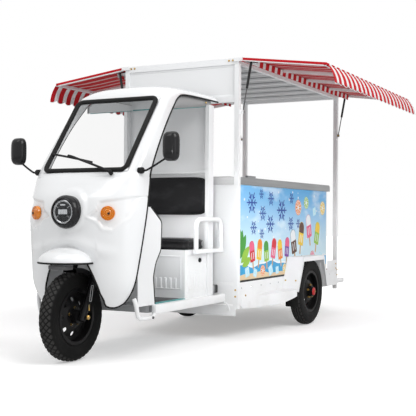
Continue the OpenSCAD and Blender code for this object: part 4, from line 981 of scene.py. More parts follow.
def groove(value, width):
    """1 near lines one unit apart, falling to 0 between 0.45 and 0.85 of width from them."""
    away = np.abs(value - np.round(value))
    return 1 - smooth((away - width * 0.45) / (width * 0.4))


def tyre(pattern, around=504):
    """The tyre's points round its hub, and a worn value for each: 1 on the tread's tops, greyer partly
    from road wear and partly as a painted highlight, 0 in the grooves and on the walls.
    """
    angle = np.arange(around)[:, None] * 2 * np.pi / around
    radius, wide = section[None, :, 0], section[None, :, 1]
    tread = smooth(np.clip((radius - 240) / 14, 0, 1))
    lines = pattern(angle / (2 * np.pi), wide)
    rings = 0.9 * np.exp(-((radius - 214) / 2.2) ** 2) + 0.9 * np.exp(-((radius - 181) / 2.0) ** 2)
    outer = round_axle(wide * (1 + rings * 0.012), radius - TREAD_DEPTH * lines * tread, angle)
    inner = round_axle(inner_wall[None, :, 1], inner_wall[None, :, 0], angle)
    # Worn tops: partly road wear, partly a painted highlight; grooves stay dark as painted shade.
    worn = np.concatenate([(1 - lines) * tread, np.zeros((around, len(inner_wall)))], 1)
    return np.concatenate([outer, inner], 1), worn.ravel()


def fit_tyre(name, hub, pattern, body, node):
    """Puts a tyre on its wheel and stores its worn values on the mesh."""
    ring, worn = tyre(pattern)
    grid = ring + np.asarray(hub, float), quads_of(*ring.shape[:2], True, True)
    piece = put(name, [grid], tyre_rubber, body, [node], sharp=55)
    layer = piece.data.attributes.new("worn", "FLOAT", "POINT")
    layer.data.foreach_set("value", worn.astype(np.float32))


def diamonds(turns, wide):
    """Front tread: 42 lines round the tyre slanting one way, crossed by 42 slanting the other."""
    return np.maximum(groove(turns * 42 + wide / 36, 0.19), groove(turns * 42 - wide / 36, 0.19))


def ribs(turns, wide):
    """Rear tread: zigzag grooves round the tyre, with short cuts at the shoulders."""
    zigzag = 4.0 * (2 * np.abs(2 * (turns * 40 - np.floor(turns * 40 + 0.5))) - 1)
    lengthways = groove((wide + zigzag) / 19 + 0.5, 0.28)
    cuts = groove(turns * 40, 0.2) * smooth((np.abs(wide) - 24) / 6)
    return np.maximum(lengthways, cuts)


fit_tyre("front_tyre_tread", (0, 0, HUB_Z), diamonds, "front_wheel", "front_tyre")
for side, s in SIDES:
    fit_tyre("rear_tyre_tread_" + side, (s * HUB_X, HUB_Y, HUB_Z), ribs, "rear_wheel_" + side,
             "rear_tyre_" + side)

# %% [markdown]
# ## Hubs
# The rear hubs carry red caps with a yellow screw, ringed by yellow nuts; the front axle shows a nut
# on each end. A profile turned with six steps makes a hexagon nut.

# %% Hub caps and nuts
BOLT_CIRCLE = 52


def nut(at, along, size, height):
    """A hexagon nut with a domed end, standing along a direction."""
    return turned([(0, 0), (0, size), (height * 0.8, size), (height, size * 0.82), (height, size * 0.5),
                   (height * 1.35, size * 0.46), (height * 1.4, 0)], at, along, 6)


def nut_ring(middle, along, size, height):
    """Five nuts, evenly spaced on the bolt circle round a wheel's axle."""
    turns = np.arange(5) * 2 * np.pi / 5 + np.pi / 2
    spots = middle + round_axle(0, BOLT_CIRCLE, turns)
    return [nut(spot, along, size, height) for spot in spots]


cap_line = [(46, 0), (46, 33), (50, 34), (64, 32), (69, 27), (71, 19), (70, 12), (74, 10), (75, 0)]
for side, s in SIDES:
    hub, out = np.array([s * HUB_X, HUB_Y, HUB_Z]), np.array([s, 0, 0.0])
    put("hub_cap_" + side, [turned(cap_line, hub, out, 40)], hub_red, "rear_wheel_" + side)
    nuts = nut_ring(hub + out * 27, out, 9.5, 14) + [nut(hub + out * 73, out, 7, 6)]
    put("wheel_nuts_" + side, nuts, yellow_zinc, "rear_wheel_" + side)
put("front_wheel_nuts", nut_ring(np.array([20, 0, HUB_Z]), (1, 0, 0), 9.2, 8), yellow_zinc,
    "front_wheel", sharp=30)
put("front_axle_nuts", [nut((s * 113, 0, HUB_Z), (s, 0, 0), 14, 12) for _, s in SIDES], yellow_zinc,
    "fork_legs", sharp=30)

# %% [markdown]
# The fork legs have a long slot with a bright edge and a small yellow tag, and a plastic guard hugs
# the tyre's top and rear. The slot's edge is a thin ring carried round an oval.

# %% Fork fittings and front guard
SLOT_POINTS, SLOT_HALF = 40, 46
slot_turn = np.linspace(0, 2 * np.pi, SLOT_POINTS, endpoint=False)
slot_up = np.clip(np.sin(slot_turn) * 90, -SLOT_HALF, SLOT_HALF)
slot_y = 51 + 10 * np.cos(slot_turn) + 0.2 * slot_up
slot_path = np.column_stack([np.full(SLOT_POINTS, 103.5), slot_y, 398 + slot_up])
put("fork_slots", both(carried(slot_path, ring_of(1.9, 8), (1, 0, 0), closed=True)), lip_steel,
    "fork_legs")
put("fork_tags", both(soft_box((101, 26, 298), (105, 36, 334), 1.6)), yellow_zinc,
    "fork_legs")
GUARD_HALF = [(52, 257), (51, 264), (48.5, 276), (45, 283), (38, 286)]
guard_line = np.array([(-x, r) for x, r in GUARD_HALF] + GUARD_HALF[::-1])
guard_turn = np.pi / 2 - np.radians(np.linspace(-4, 60, 34))[:, None]
guard_grid = round_axle(guard_line[:, 0], guard_line[:, 1], guard_turn) + [0, 0, HUB_Z]
thicken(put("front_wheel_guard", [sheet_of(guard_grid)], matt_plastic, "fork_legs",
            ["front_mudguard"], away_from=(0, 0, HUB_Z)), 3.0)

# %% [markdown]
# ## Awning cloth
# Red and white striped canvas is stretched over each awning frame. Its stripes run from the hinge to
# the edge. They are a shader over Y, so the cloth, its folds and the valances all line up.

# %% Stripes and weave
CART_FRONT, CART_REAR = 1240.0, 3240.0
STRIPES_AT = (CART_FRONT - 3) / 1000 + AXLE_Y
STRIPE_PAIR = 100.0
THREADS = 4200.0


def striped(at):
    """Red and white bands along Y, with a weave of two crossing sines; on faces turned down, painted red
    bounce light widens the red bands and tints the white pink.
    """
    x, y, z = parts_of(at)
    phase = (y - STRIPES_AT) * (1000 / STRIPE_PAIR)
    away = at.sum("PINGPONG", phase - 0.25, 0.5)
    facing = at.node("ShaderNodeTexCoord")["Normal"]
    # Faces turned down get painted red bounce light: the red bands widen and the white turns pink.
    under = 1 - step(parts_of(facing)[2], -0.95, -0.75)
    red = 1 - step(away - under * 0.09, 0.275, 0.289)
    thread = at.sum("SINE", y * THREADS) + at.sum("SINE", (x + z) * THREADS)
    fade = cloud(at, 3.0, 4.0)
    ruby = blended(fade, (0.56, 0.005, 0.012), (0.46, 0.004, 0.009))
    cream = blended(fade, (0.80, 0.80, 0.80), (0.74, 0.74, 0.75))
    # This pink on the underside is painted red bounce light, not the cloth's own colour.
    cream = blended(under, cream, (0.66, 0.42, 0.41))
    return {"Base Color": blended(red, cream, ruby), "Roughness": fade * 0.1 + 0.72,
            "Normal": bumped(thread, 0.00018, 0.7)}


canvas = finish("striped_canvas", (0.6, 0.01, 0.02), 0.75, striped, specular_ior_level=0.25)

# %% [markdown]
# The cloth wraps the hinge bar and the outer bar and sags a little between the cross bars. It is one
# grid: across it runs the wrapped section, along it the length of the cart. Its flat size is the
# section's own length times the cart's, less a small inset at each end.

# %% Stretch the cloth
HINGE_X, HINGE_Z = 488.0, 1943.0
DROOP = math.radians(7.3)
REACH, HALF_BAR, BAR_GAP = 630.0, 10.3, 494.0
CLOTH_INSET = 4.0


def on_awning(out, above, along):
    """A point of the left awning: out from the hinge, above its plane, along the vehicle."""
    out, above, along = np.broadcast_arrays(out, above, along)
    return np.stack([HINGE_X + out * math.cos(DROOP) + above * math.sin(DROOP), along,
                     HINGE_Z - out * math.sin(DROOP) + above * math.cos(DROOP)], -1)


lift = HALF_BAR + 1.2
edge_out = REACH + 1.2
wrap = eased([(HALF_BAR - 1, -lift, 0), (-lift, -lift, 0), (-lift, lift, 0), (edge_out, lift, 0),
              (edge_out, -HALF_BAR, 0)], 6.0, 5)
reach_line = np.concatenate([[0], np.cumsum(np.linalg.norm(np.diff(wrap, axis=0), axis=1))])
steps_across = np.unique(np.concatenate([reach_line, np.linspace(60, reach_line[-1] - 40, 24)]))
out, above = (np.interp(steps_across, reach_line, wrap[:, k]) for k in range(2))
along = np.linspace(CART_FRONT + CLOTH_INSET, CART_REAR - CLOTH_INSET, 241)[:, None]
bar_share = (along - CART_FRONT - 12) / BAR_GAP
sag = 7.5 * np.sin(np.pi * (bar_share - np.floor(bar_share))) ** 2
loose = np.clip(np.minimum(out - 25, REACH - 35 - out) / 130, 0, 1) * (above > 0)
cloth = on_awning(out, above - sag * smooth(loose), along)
for side, s in SIDES:
    piece = put("canvas_" + side, [sheet_of(cloth * [s, 1, 1])], canvas,
                "awning_" + side, ["awning_cloth_" + side], away_from=(s * 800, 2240, 1700), sharp=80)
    thicken(piece, 2.2, 0.0)
    "awning_frame_" + side

# %% [markdown]
# The cloth is folded down over the front and rear bars, where the outermost stripes show as a red
# band. Under each awning a flat batten covers the hinge side, and the cloth's hem hangs down at the
# batten's outer edge.

# %% Folded ends, hems and battens
HEM_INSET = 60
fold_out, fold_up = np.meshgrid(np.linspace(-8, REACH + 2, 40), np.linspace(12.2, -4, 8), indexing="ij")
hem_y = np.linspace(CART_FRONT + HEM_INSET, CART_REAR - HEM_INSET, 60)[:, None]
batten_y = np.linspace(CART_FRONT + HEM_INSET, CART_REAR - HEM_INSET, 30)
hem = on_awning(99.5, np.linspace(5, -38, 8), hem_y)
batten = np.stack([on_awning(out, above, batten_y)
                   for out, above in ((12, -11.5), (98, -11.5), (98, -14), (12, -14))], 1)
for side, s in SIDES:
    rides = "awning_" + side
    for end, y, inner in (("front", CART_FRONT + 0.6, 2000), ("rear", CART_REAR - 0.6, 2500)):
        fold = on_awning(fold_out, fold_up, y) * [s, 1, 1]
        thicken(put("canvas_fold_" + end + "_" + side, [sheet_of(fold)], canvas, rides,
                    away_from=(s * 800, inner, 1900)), 1.6)
    thicken(put("canvas_flap_" + side, [sheet_of(hem * [s, 1, 1])], canvas, rides,
                away_from=(0, 2240, 1900)), 1.0)
    put("canvas_batten_" + side, [capped(batten * [s, 1, 1])], cart_white, rides,
        sharp=25)

# %% [markdown]
# ## Valances
# A strip of the same canvas hangs from each awning's outer edge. Its foot is cut in scallops, one
# for each pair of stripes and longest in the red, and it hangs in soft folds. A white binding
# edges the scallops.

# %% Valance formula
VALANCE_LEAN, VALANCE_BOW = math.radians(21), math.radians(40)
VALANCE_LEN, SCALLOP = 138.0, 20
valance_top = on_awning(REACH + 2.5 + 0.6, 0.0, 0.0)


def hanging(y, drop):
    """A point of the left valance, from its place along the cart and its share of the drop. The
    strip bows in an arc: its lean falls evenly, from slanting at the top to upright at the foot."""
    turns = (y - CART_FRONT + 3) / STRIPE_PAIR
    phase = turns + 0.25 - np.floor(turns + 0.25)
    share = drop * (1 - SCALLOP / VALANCE_LEN * (2 * phase - 1) ** 2)
    start = VALANCE_LEAN + VALANCE_BOW / 2
    lean_here = start - VALANCE_BOW * share
    ripple = 7.0 * np.sin(np.pi * phase) * drop ** 1.3 + 1.6 * np.sin(2.3 * turns + 1) * drop ** 2
    fold = ripple + 1.3 * smooth(drop / 0.1)
    radius = VALANCE_LEN / VALANCE_BOW
    x = radius * (np.cos(lean_here) - math.cos(start)) + fold * np.cos(lean_here)
    z = radius * (np.sin(lean_here) - math.sin(start)) + fold * np.sin(lean_here)
    return valance_top + np.stack([x, y, z], -1)


drop_at_front = valance_top[2] - hanging(CART_FRONT + 22.0, 1.0)[2]
print("a valance's foot hangs", round(float(drop_at_front)), "mm down")

# %% [markdown]
# The cut cloth is smaller than its strip because of the scallops, so its area is summed from the
# grid: half the cross product of each cell's diagonals.

# %% Hang the valances
run = np.linspace(CART_FRONT + CLOTH_INSET, CART_REAR - CLOTH_INSET, 401)
drape = hanging(*np.meshgrid(run, np.linspace(0.012, 1, 13), indexing="ij"))
hem_line = hanging(run, np.ones_like(run)) - [0, 0, 0.5]
diagonals = drape[1:, 1:] - drape[:-1, :-1], drape[:-1, 1:] - drape[1:, :-1]
valance_area = 0.5 * np.linalg.norm(np.cross(*diagonals), axis=-1).sum() / 1e6
binding_cloth = finish("binding_cloth", (0.78, 0.78, 0.78), 0.7, lambda at: {
    "Base Color": blended(cloud(at, 40.0), (0.8, 0.8, 0.8), (0.7, 0.7, 0.71)),
    "Normal": bumped(cloud(at, 900.0), 0.0004)})
for side, s in SIDES:
    piece = put("valance_cloth_" + side, [sheet_of(drape * [s, 1, 1])], canvas,
                "valance_" + side, ["valance_" + side], away_from=(s * 900, 2240, 1830), sharp=80)
    thicken(piece, 1.6, 0.0)
    edging = carried(hem_line * [s, 1, 1], ring_of(2.1, 6), (0, 0, 1))
    binding = put("valance_binding_" + side, [edging], binding_cloth, "valance_" + side)
    "awning_frame_" + side

# %% [markdown]
# ## Seat and backrest
# Both are foam under black vinyl. A rounded pad is made from a few rings, then blown up gently as
# cloth so that the cover swells between its edges.

# %% Vinyl and pads
def vinyl_recipe(at):
    """Black vinyl: pebble grain, soft creases and patches of more and less gloss."""
    crease = cloud(at, 7.0, 5.0, (1.0, 2.2, 2.2))
    pebble = at.node("ShaderNodeTexVoronoi", None, {"Vector": at, "Scale": 520.0})["Distance"]
    shade = blended(step(crease, 0.45, 0.8), (0.007, 0.007, 0.008), (0.018, 0.018, 0.02))
    return {"Base Color": shade, "Roughness": crease * 0.3 + 0.22,
            "Normal": bumped(crease * 6.0 + pebble * 0.35, 0.0012)}


vinyl = finish("black_vinyl", (0.012, 0.012, 0.013), 0.36, vinyl_recipe, specular_ior_level=0.13,
               coat_weight=0.05, coat_roughness=0.2)


def squared_ring(count, square=9.0):
    """A circle pressed out to a rounded square: cosine and sine to the power 2 / square."""
    circle = ring_of(1.0, count)
    return np.sign(circle) * np.abs(circle) ** (2 / square)


def pad(half_x, half_y, rings, sides=96, square=9.0):
    """Rings of a rounded rectangle, each (inset, height), closed at the bottom and the top."""
    inset, height = np.asarray(rings, float).T[:, :, None]
    x, y = squared_ring(sides, square).T
    x, y = (half_x - inset) * x, (half_y - inset) * y
    return poled(np.stack([x, y, np.broadcast_to(height, x.shape)], -1))


print("a pad of two rings has", len(pad(10, 10, [(0, 0), (0, 5)])[1]), "cells")

# %% [markdown]
# A cushion swells where its cover isn't held. Blender's cloth can blow a closed mesh up from inside,
# so an even remesh of the pad is inflated for some frames, and the result is kept as a plain mesh.

# %% Swelling
SWELL_FRAMES, SWELL_VOXEL = 18, 0.006


def frozen(piece):
    """The piece's mesh with its modifiers applied, and its points."""
    mesh = bpy.data.meshes.new_from_object(piece.evaluated_get(bpy.context.evaluated_depsgraph_get()))
    points = np.empty(len(mesh.vertices) * 3)
    mesh.vertices.foreach_get("co", points)
    return mesh, points.reshape(-1, 3)


def swell(piece, most):
    """Remeshes a pad and blows it up as cloth for some frames, keeping each point within most
    metres of where it was."""
    bpy.context.view_layer.objects.active = piece
    grow = piece.modifiers.new("even", "REMESH")
    grow.mode = "VOXEL"
    grow.voxel_size = SWELL_VOXEL
    blow = piece.modifiers.new("blow", "CLOTH")
    blow.settings.use_pressure = True
    blow.settings.uniform_pressure_force = 4.0
    blow.settings.effector_weights.gravity = 0.0
    blow.settings.tension_stiffness = 15.0
    scene.frame_set(1)
    blow.show_viewport = False
    start = frozen(piece)[1]
    blow.show_viewport = True
    for number in range(1, SWELL_FRAMES + 1):
        scene.frame_set(number)
    blown, end = frozen(piece)
    move = end - start
    length = np.maximum(np.linalg.norm(move, axis=1, keepdims=True), 1e-9)
    end = start + move * np.minimum(1, most / length)
    blown.vertices.foreach_set("co", end.ravel())
    piece.modifiers.clear()
    piece.data = blown
    scene.frame_set(1)
    blown.polygons.foreach_set("use_smooth", np.ones(len(blown.polygons), bool))
    print(piece.name, "swells by up to", most * 1000, "mm")


print("the cover's mesh is even to", SWELL_VOXEL * 1000, "mm")

# %% [markdown] The seat lies flat on its box and lifts on a hinge; the backrest is screwed upright to
# the wall.

# %% Seat cushion and backrest
SEAT_FRONT, SEAT_REAR, SEAT_Z = 753.0, 1030.0, 635.3
SEAT_Y = (SEAT_FRONT + SEAT_REAR) / 2
BACK_Y, BACK_Z = 1084.5, 994
seat_rings = [(6, 0), (3, 6), (3, 16), (9, 34), (4, 50), (6, 56), (16, 64), (45, 69), (100, 72)]
back_rings = [(6, 0), (3, 5), (3, 14), (8, 22), (4, 30), (8, 35), (22, 39), (60, 41.5), (110, 42.5)]


def upright_pad(grid, x, y, z, facing):
    """A pad stood up on its edge at a place; facing -1 turns its top to the front, 1 to the rear."""
    points, cells = grid
    return np.stack([points[..., 0] + x, y + facing * points[..., 2], points[..., 1] + z], -1), cells


points, cells = pad(330, (SEAT_REAR - SEAT_FRONT) / 2 + 3, seat_rings)
seat_pad = put("seat_pad", [(points + [0, SEAT_Y, SEAT_Z], cells)], vinyl, "seat",
               ["seat_cushion"], sharp=80)
back_pad = put("backrest_pad", [upright_pad(pad(312, 130, back_rings), 0, BACK_Y, BACK_Z, -1)], vinyl,
               stands_for=["backrest"], sharp=80)
swell(seat_pad, 0.003)
swell(back_pad, 0.0015)

# %% [markdown]
# A piped seam runs round both edges of each pad: the lower and upper one of the seat, the rear and
# front one of the backrest. It is a thin cord laid along the same rounded rectangle, so it follows the
# cover's edge.

# %% Piping
PIPING_POINTS = 160
x, y = squared_ring(PIPING_POINTS).T
level = np.ones(PIPING_POINTS)
seat_seams = [np.column_stack([327 * x, 137.5 * y + SEAT_Y, level * (SEAT_Z + z)]) for z in (13.0, 54.0)]
back_seams = [np.column_stack([309 * x, level * (BACK_Y - d), 127 * y + BACK_Z]) for d in (11.0, 33.0)]
put("seat_piping", [carried(line, ring_of(2.6, 8), (0, 0, 1), closed=True) for line in seat_seams],
    gloss_black, "seat")
put("backrest_piping", [carried(line, ring_of(2.4, 8), (0, 1, 0), closed=True) for line in back_seams],
    gloss_black)

# %% [markdown]
# ## Arm rails
# Two bent tubes stand beside the seat, each welded to a flat foot. A circle carried along a path
# with eased corners gives the bends.

# %% Arm rails
rail_path = eased([(364, 838, 622), (364, 838, 834), (364, 1184, 834), (364, 1184, 622)], 62, 12)
rail_foot = soft_box((348, 822, 609), (380, 1200, 635), 4)
rail_arm = soft_box((330, 860, 609), (350, 920, 633), 3)
put("arm_rail_tubes", both(carried(rail_path, ring_of(16, 24), (1, 0, 0)), rail_foot, rail_arm),
    cart_white, stands_for=["arm_rails"])

# %% [markdown]
# ## Mirrors
# A bent arm reaches out of each pillar's foot and carries a black head with a pane on its rear face.
# The head is made of the same rings as the pads, shrinking towards its front like a moulded shell.

# %% Mirror arms and heads
MIRROR_X, MIRROR_Z, MIRROR_SQUARE = 564, 1260, 3.6
arm_path = through([(388, 150, 1121), (408, 150, 1121), (424, 150, 1125), (470, 156, 1150),
                    (520, 164, 1180), (540, 167, 1192), (548, 168, 1204), (548, 168, 1232)], 40)
base_line = [(0, 0), (0, 19), (26, 19), (31, 16), (33, 9), (33, 0)]
arm_base = turned(base_line, (364, 150, 1121), (1, 0, 0), 32)
put("mirror_arm_tubes", both(carried(arm_path, ring_of(6, 12), (0, 1, 0)), arm_base), matt_plastic,
    stands_for=["mirror_arms"])
shell_rings = [(3, 0), (0, 6), (0, 16), (3, 28), (9, 39), (18, 47), (30, 53), (42, 55)]
head = upright_pad(pad(53, 86, shell_rings, 72, MIRROR_SQUARE), MIRROR_X, 196, MIRROR_Z, -1)
pane_rings = [(2, -1), (0, 0), (0, 1), (2, 2)]
glass = upright_pad(pad(47, 80, pane_rings, 72, MIRROR_SQUARE), MIRROR_X, 195.4, MIRROR_Z, 1)
for (side, _), head_grid, glass_grid in zip(SIDES, both(head), both(glass)):
    rides = "mirror_" + side
    put("mirror_shell_" + side, [head_grid], gloss_black, rides, ["mirror_head_" + side],
        sharp=60)
    put("mirror_pane_" + side, [glass_grid], mirror_glass, rides)

# %% [markdown]
# ## Cab floor
# The floor is a flat sheet between two sills, with a bent tube guard at the front of each doorway and
# lugs for the brake pedal. A ribbed mat lies on it, edged in teal.

# %% Floor, guards and mat
floor_plate = soft_box((-343, 337, 313), (343, 1110, 318), 2)
sill = soft_box((342, 332, 262), (376, 1238, 318), 5)
guard_path = [(350, 128, 372), (360, 136, 340), (360, 160, 250), (360, 320, 244), (360, 338, 262)]
guard = carried(eased(guard_path, 30, 8), ring_of(13, 16), (1, 0, 0))
pedal_pin = turned([(0, 0), (0, 6), (48, 6), (48, 0)], (-194, 420, 340), (1, 0, 0), 16)
lugs = [soft_box((x, 408, 316), (x + 8, 432, 350), 2) for x in (-192, -156)]
put("cab_floor", [floor_plate] + both(sill) + both(guard) + [pedal_pin] + lugs, cart_white,
    stands_for=["floor_pan"])
plug = turned([(-2, 0), (-2, 8), (4, 8), (6, 5), (6, 0)], (375, 300, 246), (1, 0, 0), 16)
put("guard_plugs", both(plug), grey_plastic)
mat = [soft_box((-300, 372, 317.6), (300, 748, 321), 1.4)]
mat += [soft_box((-290, y - 5, 320), (290, y + 5, 323), 1.2) for y in np.arange(395, 740, 26)]
put("floor_mat", mat, grey_plastic)
put("mat_edges", both(soft_box((301, 372, 317.6), (338, 748, 321.5), 1.4)), teal_paint)

# %% [markdown]
# ## Seat box
# Each side of the seat box has a framed hatch with louvres and a lock, and its front has two framed
# fields with louvres. They are raised strips, each a soft box that stands half in the sheet.

# %% Hatches and louvres
hatch_strips = ((786, 793, 352, 600), (1005, 1012, 352, 600), (786, 1012, 352, 359),
                (786, 1012, 593, 600), (812, 986, 372, 382), (836, 962, 486, 496))
hatch = [soft_box((328.5, y0, z0), (333.5, y1, z1), 2.2) for y0, y1, z0, z1 in hatch_strips]
hatch += [soft_box((328.5, y - 10, 380), (333.5, y + 10, 488), 2.4) for y in (850, 884, 918, 952)]
fields = []
for x0, x1 in ((-302, -24), (24, 302)):
    strips = ((x0, x0 + 9, 376, 596), (x1 - 9, x1, 376, 596), (x0, x1, 376, 385), (x0, x1, 587, 596))
    fields += [soft_box((xa, 749.5, za), (xb, 754.5, zb), 2.2) for xa, xb, za, zb in strips]
    fields += [soft_box((x - 9, 749.5, 384), (x + 9, 754.5, 452), 2.3)
               for x in np.linspace(x0 + 45, x1 - 45, 6)]
put("seat_box_pressings", both(*hatch) + fields, cart_white)
lock = turned([(0, 0), (0, 15), (7, 15), (10, 12), (10, 0)], (330, 945, 562), (1, 0, 0), 24)
put("seat_box_locks", both(lock), matt_plastic)

# %% [markdown]
# ## Door headers and small cab fittings
# A header stiffens the roof over each doorway: a box whose top follows the skin's door edge and
# whose foot rises gently to the rear. A grey sheet on its outer face is painted shade, the shade
# under the roof's edge, and it has a teal seam. The leg shield's raw rear edge gets a rubber strip,
# and a horn hangs below the nose.

# %% Headers and fittings
HEADER_POINTS, HEADER_THICK = 50, 14
shield_rear = np.array([(313, 910), (439, 821), (432, 648), (370, 566), (345, 484), (366, 322)], float)
shield_line = eased(np.column_stack([np.full(len(shield_rear), 343.0), shield_rear]), 24, 6)
put("leg_shield_strip", both(carried(shield_line, ring_of(6.0, 10), (1, 0, 0))), trim_rubber)
put("teal_line", [soft_box((-300, 1083.2, 1606), (300, 1085.6, 1613), 1)], teal_paint)
header_at = np.linspace(11.2, LAST - 0.5, HEADER_POINTS)
header_top = skin(header_at, np.full(HEADER_POINTS, 90.0)) + [-9, 0, -4]
header_low = header_top.copy()
header_low[:, 2] = np.minimum(header_top[:, 2] - 8, 1535 + 0.15 * (header_top[:, 1] - 599))
inwards = np.array([HEADER_THICK, 0, 0])
header = np.stack([header_top, header_low, header_low - inwards, header_top - inwards], 1)
put("door_headers", both(tube_of(header)), cab_white)
# The grey sheet on each header's outer face is painted shade.
shade_sheet = sheet_of(np.stack([header_top, header_low], 1) + [1.4, 0, 0])
for (side, _), grid in zip(SIDES, both(shade_sheet)):
    thicken(put("header_shade_sheet_" + side, [grid], header_shade_grey, away_from=(0, 900, 1600)), 1.0)
bolt = turned([(0, 0), (0, 7), (6, 7), (8, 5), (8, 0)], (333, 1010, 1622), (1, 0, 0), 16)
put("header_bolts", both(bolt), yellow_zinc)
put("header_seams", both(carried(header_low[4:] - [7, 0, 1], ring_of(2.6, 8), (1, 0, 0))), teal_paint)
put("horn_block", [soft_box((-72, -132, 541), (60, -66, 566), 6)], grey_plastic)

# %% [markdown]
# ## Printed side panels
# The panels carry a summer print: a sky that pales towards the foot, soft clouds, a wavy sea along
# the foot, and snow crystals, ice lollies, citrus slices, leaves and ice cubes over it. The sky is
# one shader over Y and Z; the shapes are thin flat pieces, so they stay crisp at any distance.

# %% Sky
PANEL_Y0, PANEL_Y1, PANEL_Z0, PANEL_Z1 = 1278.0, 2959.0, 394.0, 1076.0
PANEL_X = 465.0


def sky_recipe(at):
    """Blue that pales downwards and to the front, with drifting clouds."""
    _, y, z = parts_of(at)
    up = step(z, PANEL_Z0 / 1000 + 0.12, PANEL_Z1 / 1000 + 0.04)
    back = step(y, PANEL_Y0 / 1000 + AXLE_Y, PANEL_Y1 / 1000 + AXLE_Y)
    clouds = step(cloud(at, 5.0, 5.0, (1.0, 0.7, 1.6)), 0.52, 0.75)
    blue = blended(up, (0.6, 0.79, 0.88), (0.004, 0.33, 0.72))
    paler = blended((1 - back) * 0.22, blue, (0.7, 0.86, 0.93))
    colour = blended(clouds * 0.5, paler, (0.82, 0.91, 0.96))
    return {"Base Color": colour, "Roughness": cloud(at, 8.0) * 0.1 + 0.28}


sky_print = finish("sky_print", (0.06, 0.45, 0.8), 0.3, sky_recipe, specular_ior_level=0.25)
put("panel_boards", both(soft_box((PANEL_X - 5, PANEL_Y0, PANEL_Z0), (PANEL_X, PANEL_Y1, PANEL_Z1), 1.2)),
    sky_print, stands_for=["side_panels"])

# %% [markdown]
# Each printed shape is stamped on both panels as a thin slab: an outline, its middle, and a layer
# number that lifts it by a tenth of a millimetre or so over what lies below.

# %% Inks and stamps
INKS = {
    "white": (0.86, 0.9, 0.93), "navy": (0.002, 0.055, 0.36), "red": (0.68, 0.02, 0.03),
    "orange": (0.86, 0.25, 0.01), "yellow": (0.88, 0.6, 0.03), "green": (0.05, 0.32, 0.04),
    "lime": (0.3, 0.55, 0.05), "pink": (0.8, 0.12, 0.25), "purple": (0.2, 0.05, 0.35),
    "ice": (0.5, 0.8, 0.92), "wood": (0.6, 0.38, 0.18), "sea": (0.03, 0.36, 0.68),
    "sand": (0.8, 0.62, 0.38), "cocoa": (0.1, 0.035, 0.015), "black": (0.01, 0.01, 0.011)}
prints = {name: [] for name in INKS}


def ink(name, tone):
    """A printed colour with a little wear in its tone."""
    worn = tuple(v * 0.86 for v in tone)
    return finish(name, tone, 0.3, lambda at: {"Base Color": blended(cloud(at, 18.0, 4.0), tone, worn)},
                  specular_ior_level=0.2)


def stamp(colour, outline, layer):
    """Adds a flat shape, given as (y, z) points round its middle, to the print on both sides."""
    outline = np.asarray(outline, float)
    middle = outline.mean(0)
    low, high = PANEL_X - 0.4, PANEL_X + 0.1 + 0.12 * layer
    levels = ((0.0, low), (1.0, low), (1.0, high), (0.0, high))
    rings = [np.column_stack([np.full(len(outline), x), (outline - middle) * size + middle])
             for size, x in levels]
    prints[colour] += both(tube_of(np.stack(rings)))


def turned_flat(points, angle, at=(0, 0)):
    """Flat points turned by an angle in degrees and moved to a place on the panel."""
    c, s = math.cos(math.radians(angle)), math.sin(math.radians(angle))
    return np.asarray(points, float) @ np.array([[c, s], [-s, c]]) + np.asarray(at, float)


print(len(INKS), "inks")

# %% [markdown]
# Each motif is a few outlines: a disc and wedges make a citrus slice, a rounded bar and a stick make
# an ice lolly, two arcs make a leaf. They are placed one by one, with sizes like those of a print.

# %% Fruit, lollies and leaves
def citrus(y, z, radius, rind, flesh):
    """A citrus slice: a rind disc, a white disc at 0.9 of it and nine wedges, each from a tip at
    0.14 of the radius to an arc at 0.82."""
    stamp(rind, ring_of(radius, 40) + [y, z], 3)
    stamp("white", ring_of(radius * 0.9, 40) + [y, z], 4)
    arc = np.radians(np.linspace(4, 36, 8))
    edge = radius * 0.82 * np.stack([np.cos(arc), np.sin(arc)], -1)
    tip = radius * 0.14 * np.array([[math.cos(math.radians(20)), math.sin(math.radians(20))]])
    for k in range(9):
        stamp(flesh, turned_flat(np.concatenate([tip, edge]), k * 40, (y, z)), 5)


def lolly(y, z, angle, coat, dip):
    """An ice lolly: a stick, a round topped bar, a dipped top and two pale grooves. Those to the
    rear are drawn a quarter larger."""
    size = 1.0 if y < 2200 else 1.25
    bars = [("wood", bar_shape(9, -118, -40, 8, 8), 3), (coat, bar_shape(40, -60, 92, 38, 9), 5),
            (dip, bar_shape(38, 20, 90, 36, 6), 6)]
    bars += [("white", bar_shape(4, -42, 8, 4, 4) + [x, 0], 7) for x in (-15, 15)]
    for colour, outline, layer in bars:
        stamp(colour, turned_flat(outline * size, angle, (y, z)), layer)


def leaf(y, z, length, angle, colour, layer):
    """A leaf: a sine's arch over its length, and the same arch below."""
    t = np.linspace(0, 1, 14)
    edge = 0.2 * length * np.sin(np.pi * t) ** 0.8
    over, under = np.stack([t * length, edge], -1), np.stack([t[::-1] * length, -edge], -1)
    stamp(colour, turned_flat(np.concatenate([over, under[1:-1]]), angle, (y, z)), layer)


print("a lolly's bar has", len(bar_shape(40, -60, 92, 38, 9)), "points")

# %% [markdown]
# Ice, snow and sea are drawn in the same way. A wave is too long for one outline with a middle
# inside it, so it is stamped in seven lengths.

# %% Ice, snow and waves
def cube(y, z, size, angle):
    """An ice cube: three rounded squares inside each other, the inner two turned a little."""
    shapes = (("ice", 1.0, size * 0.25, 0, 3), ("white", 0.62, 6, 8, 4), ("ice", 0.5, 5, 8, 5))
    for colour, share, corner, twist, layer in shapes:
        half = size * share
        outline = bar_shape(half, -half, half, corner, corner)
        stamp(colour, turned_flat(outline, angle + twist, (y, z)), layer)


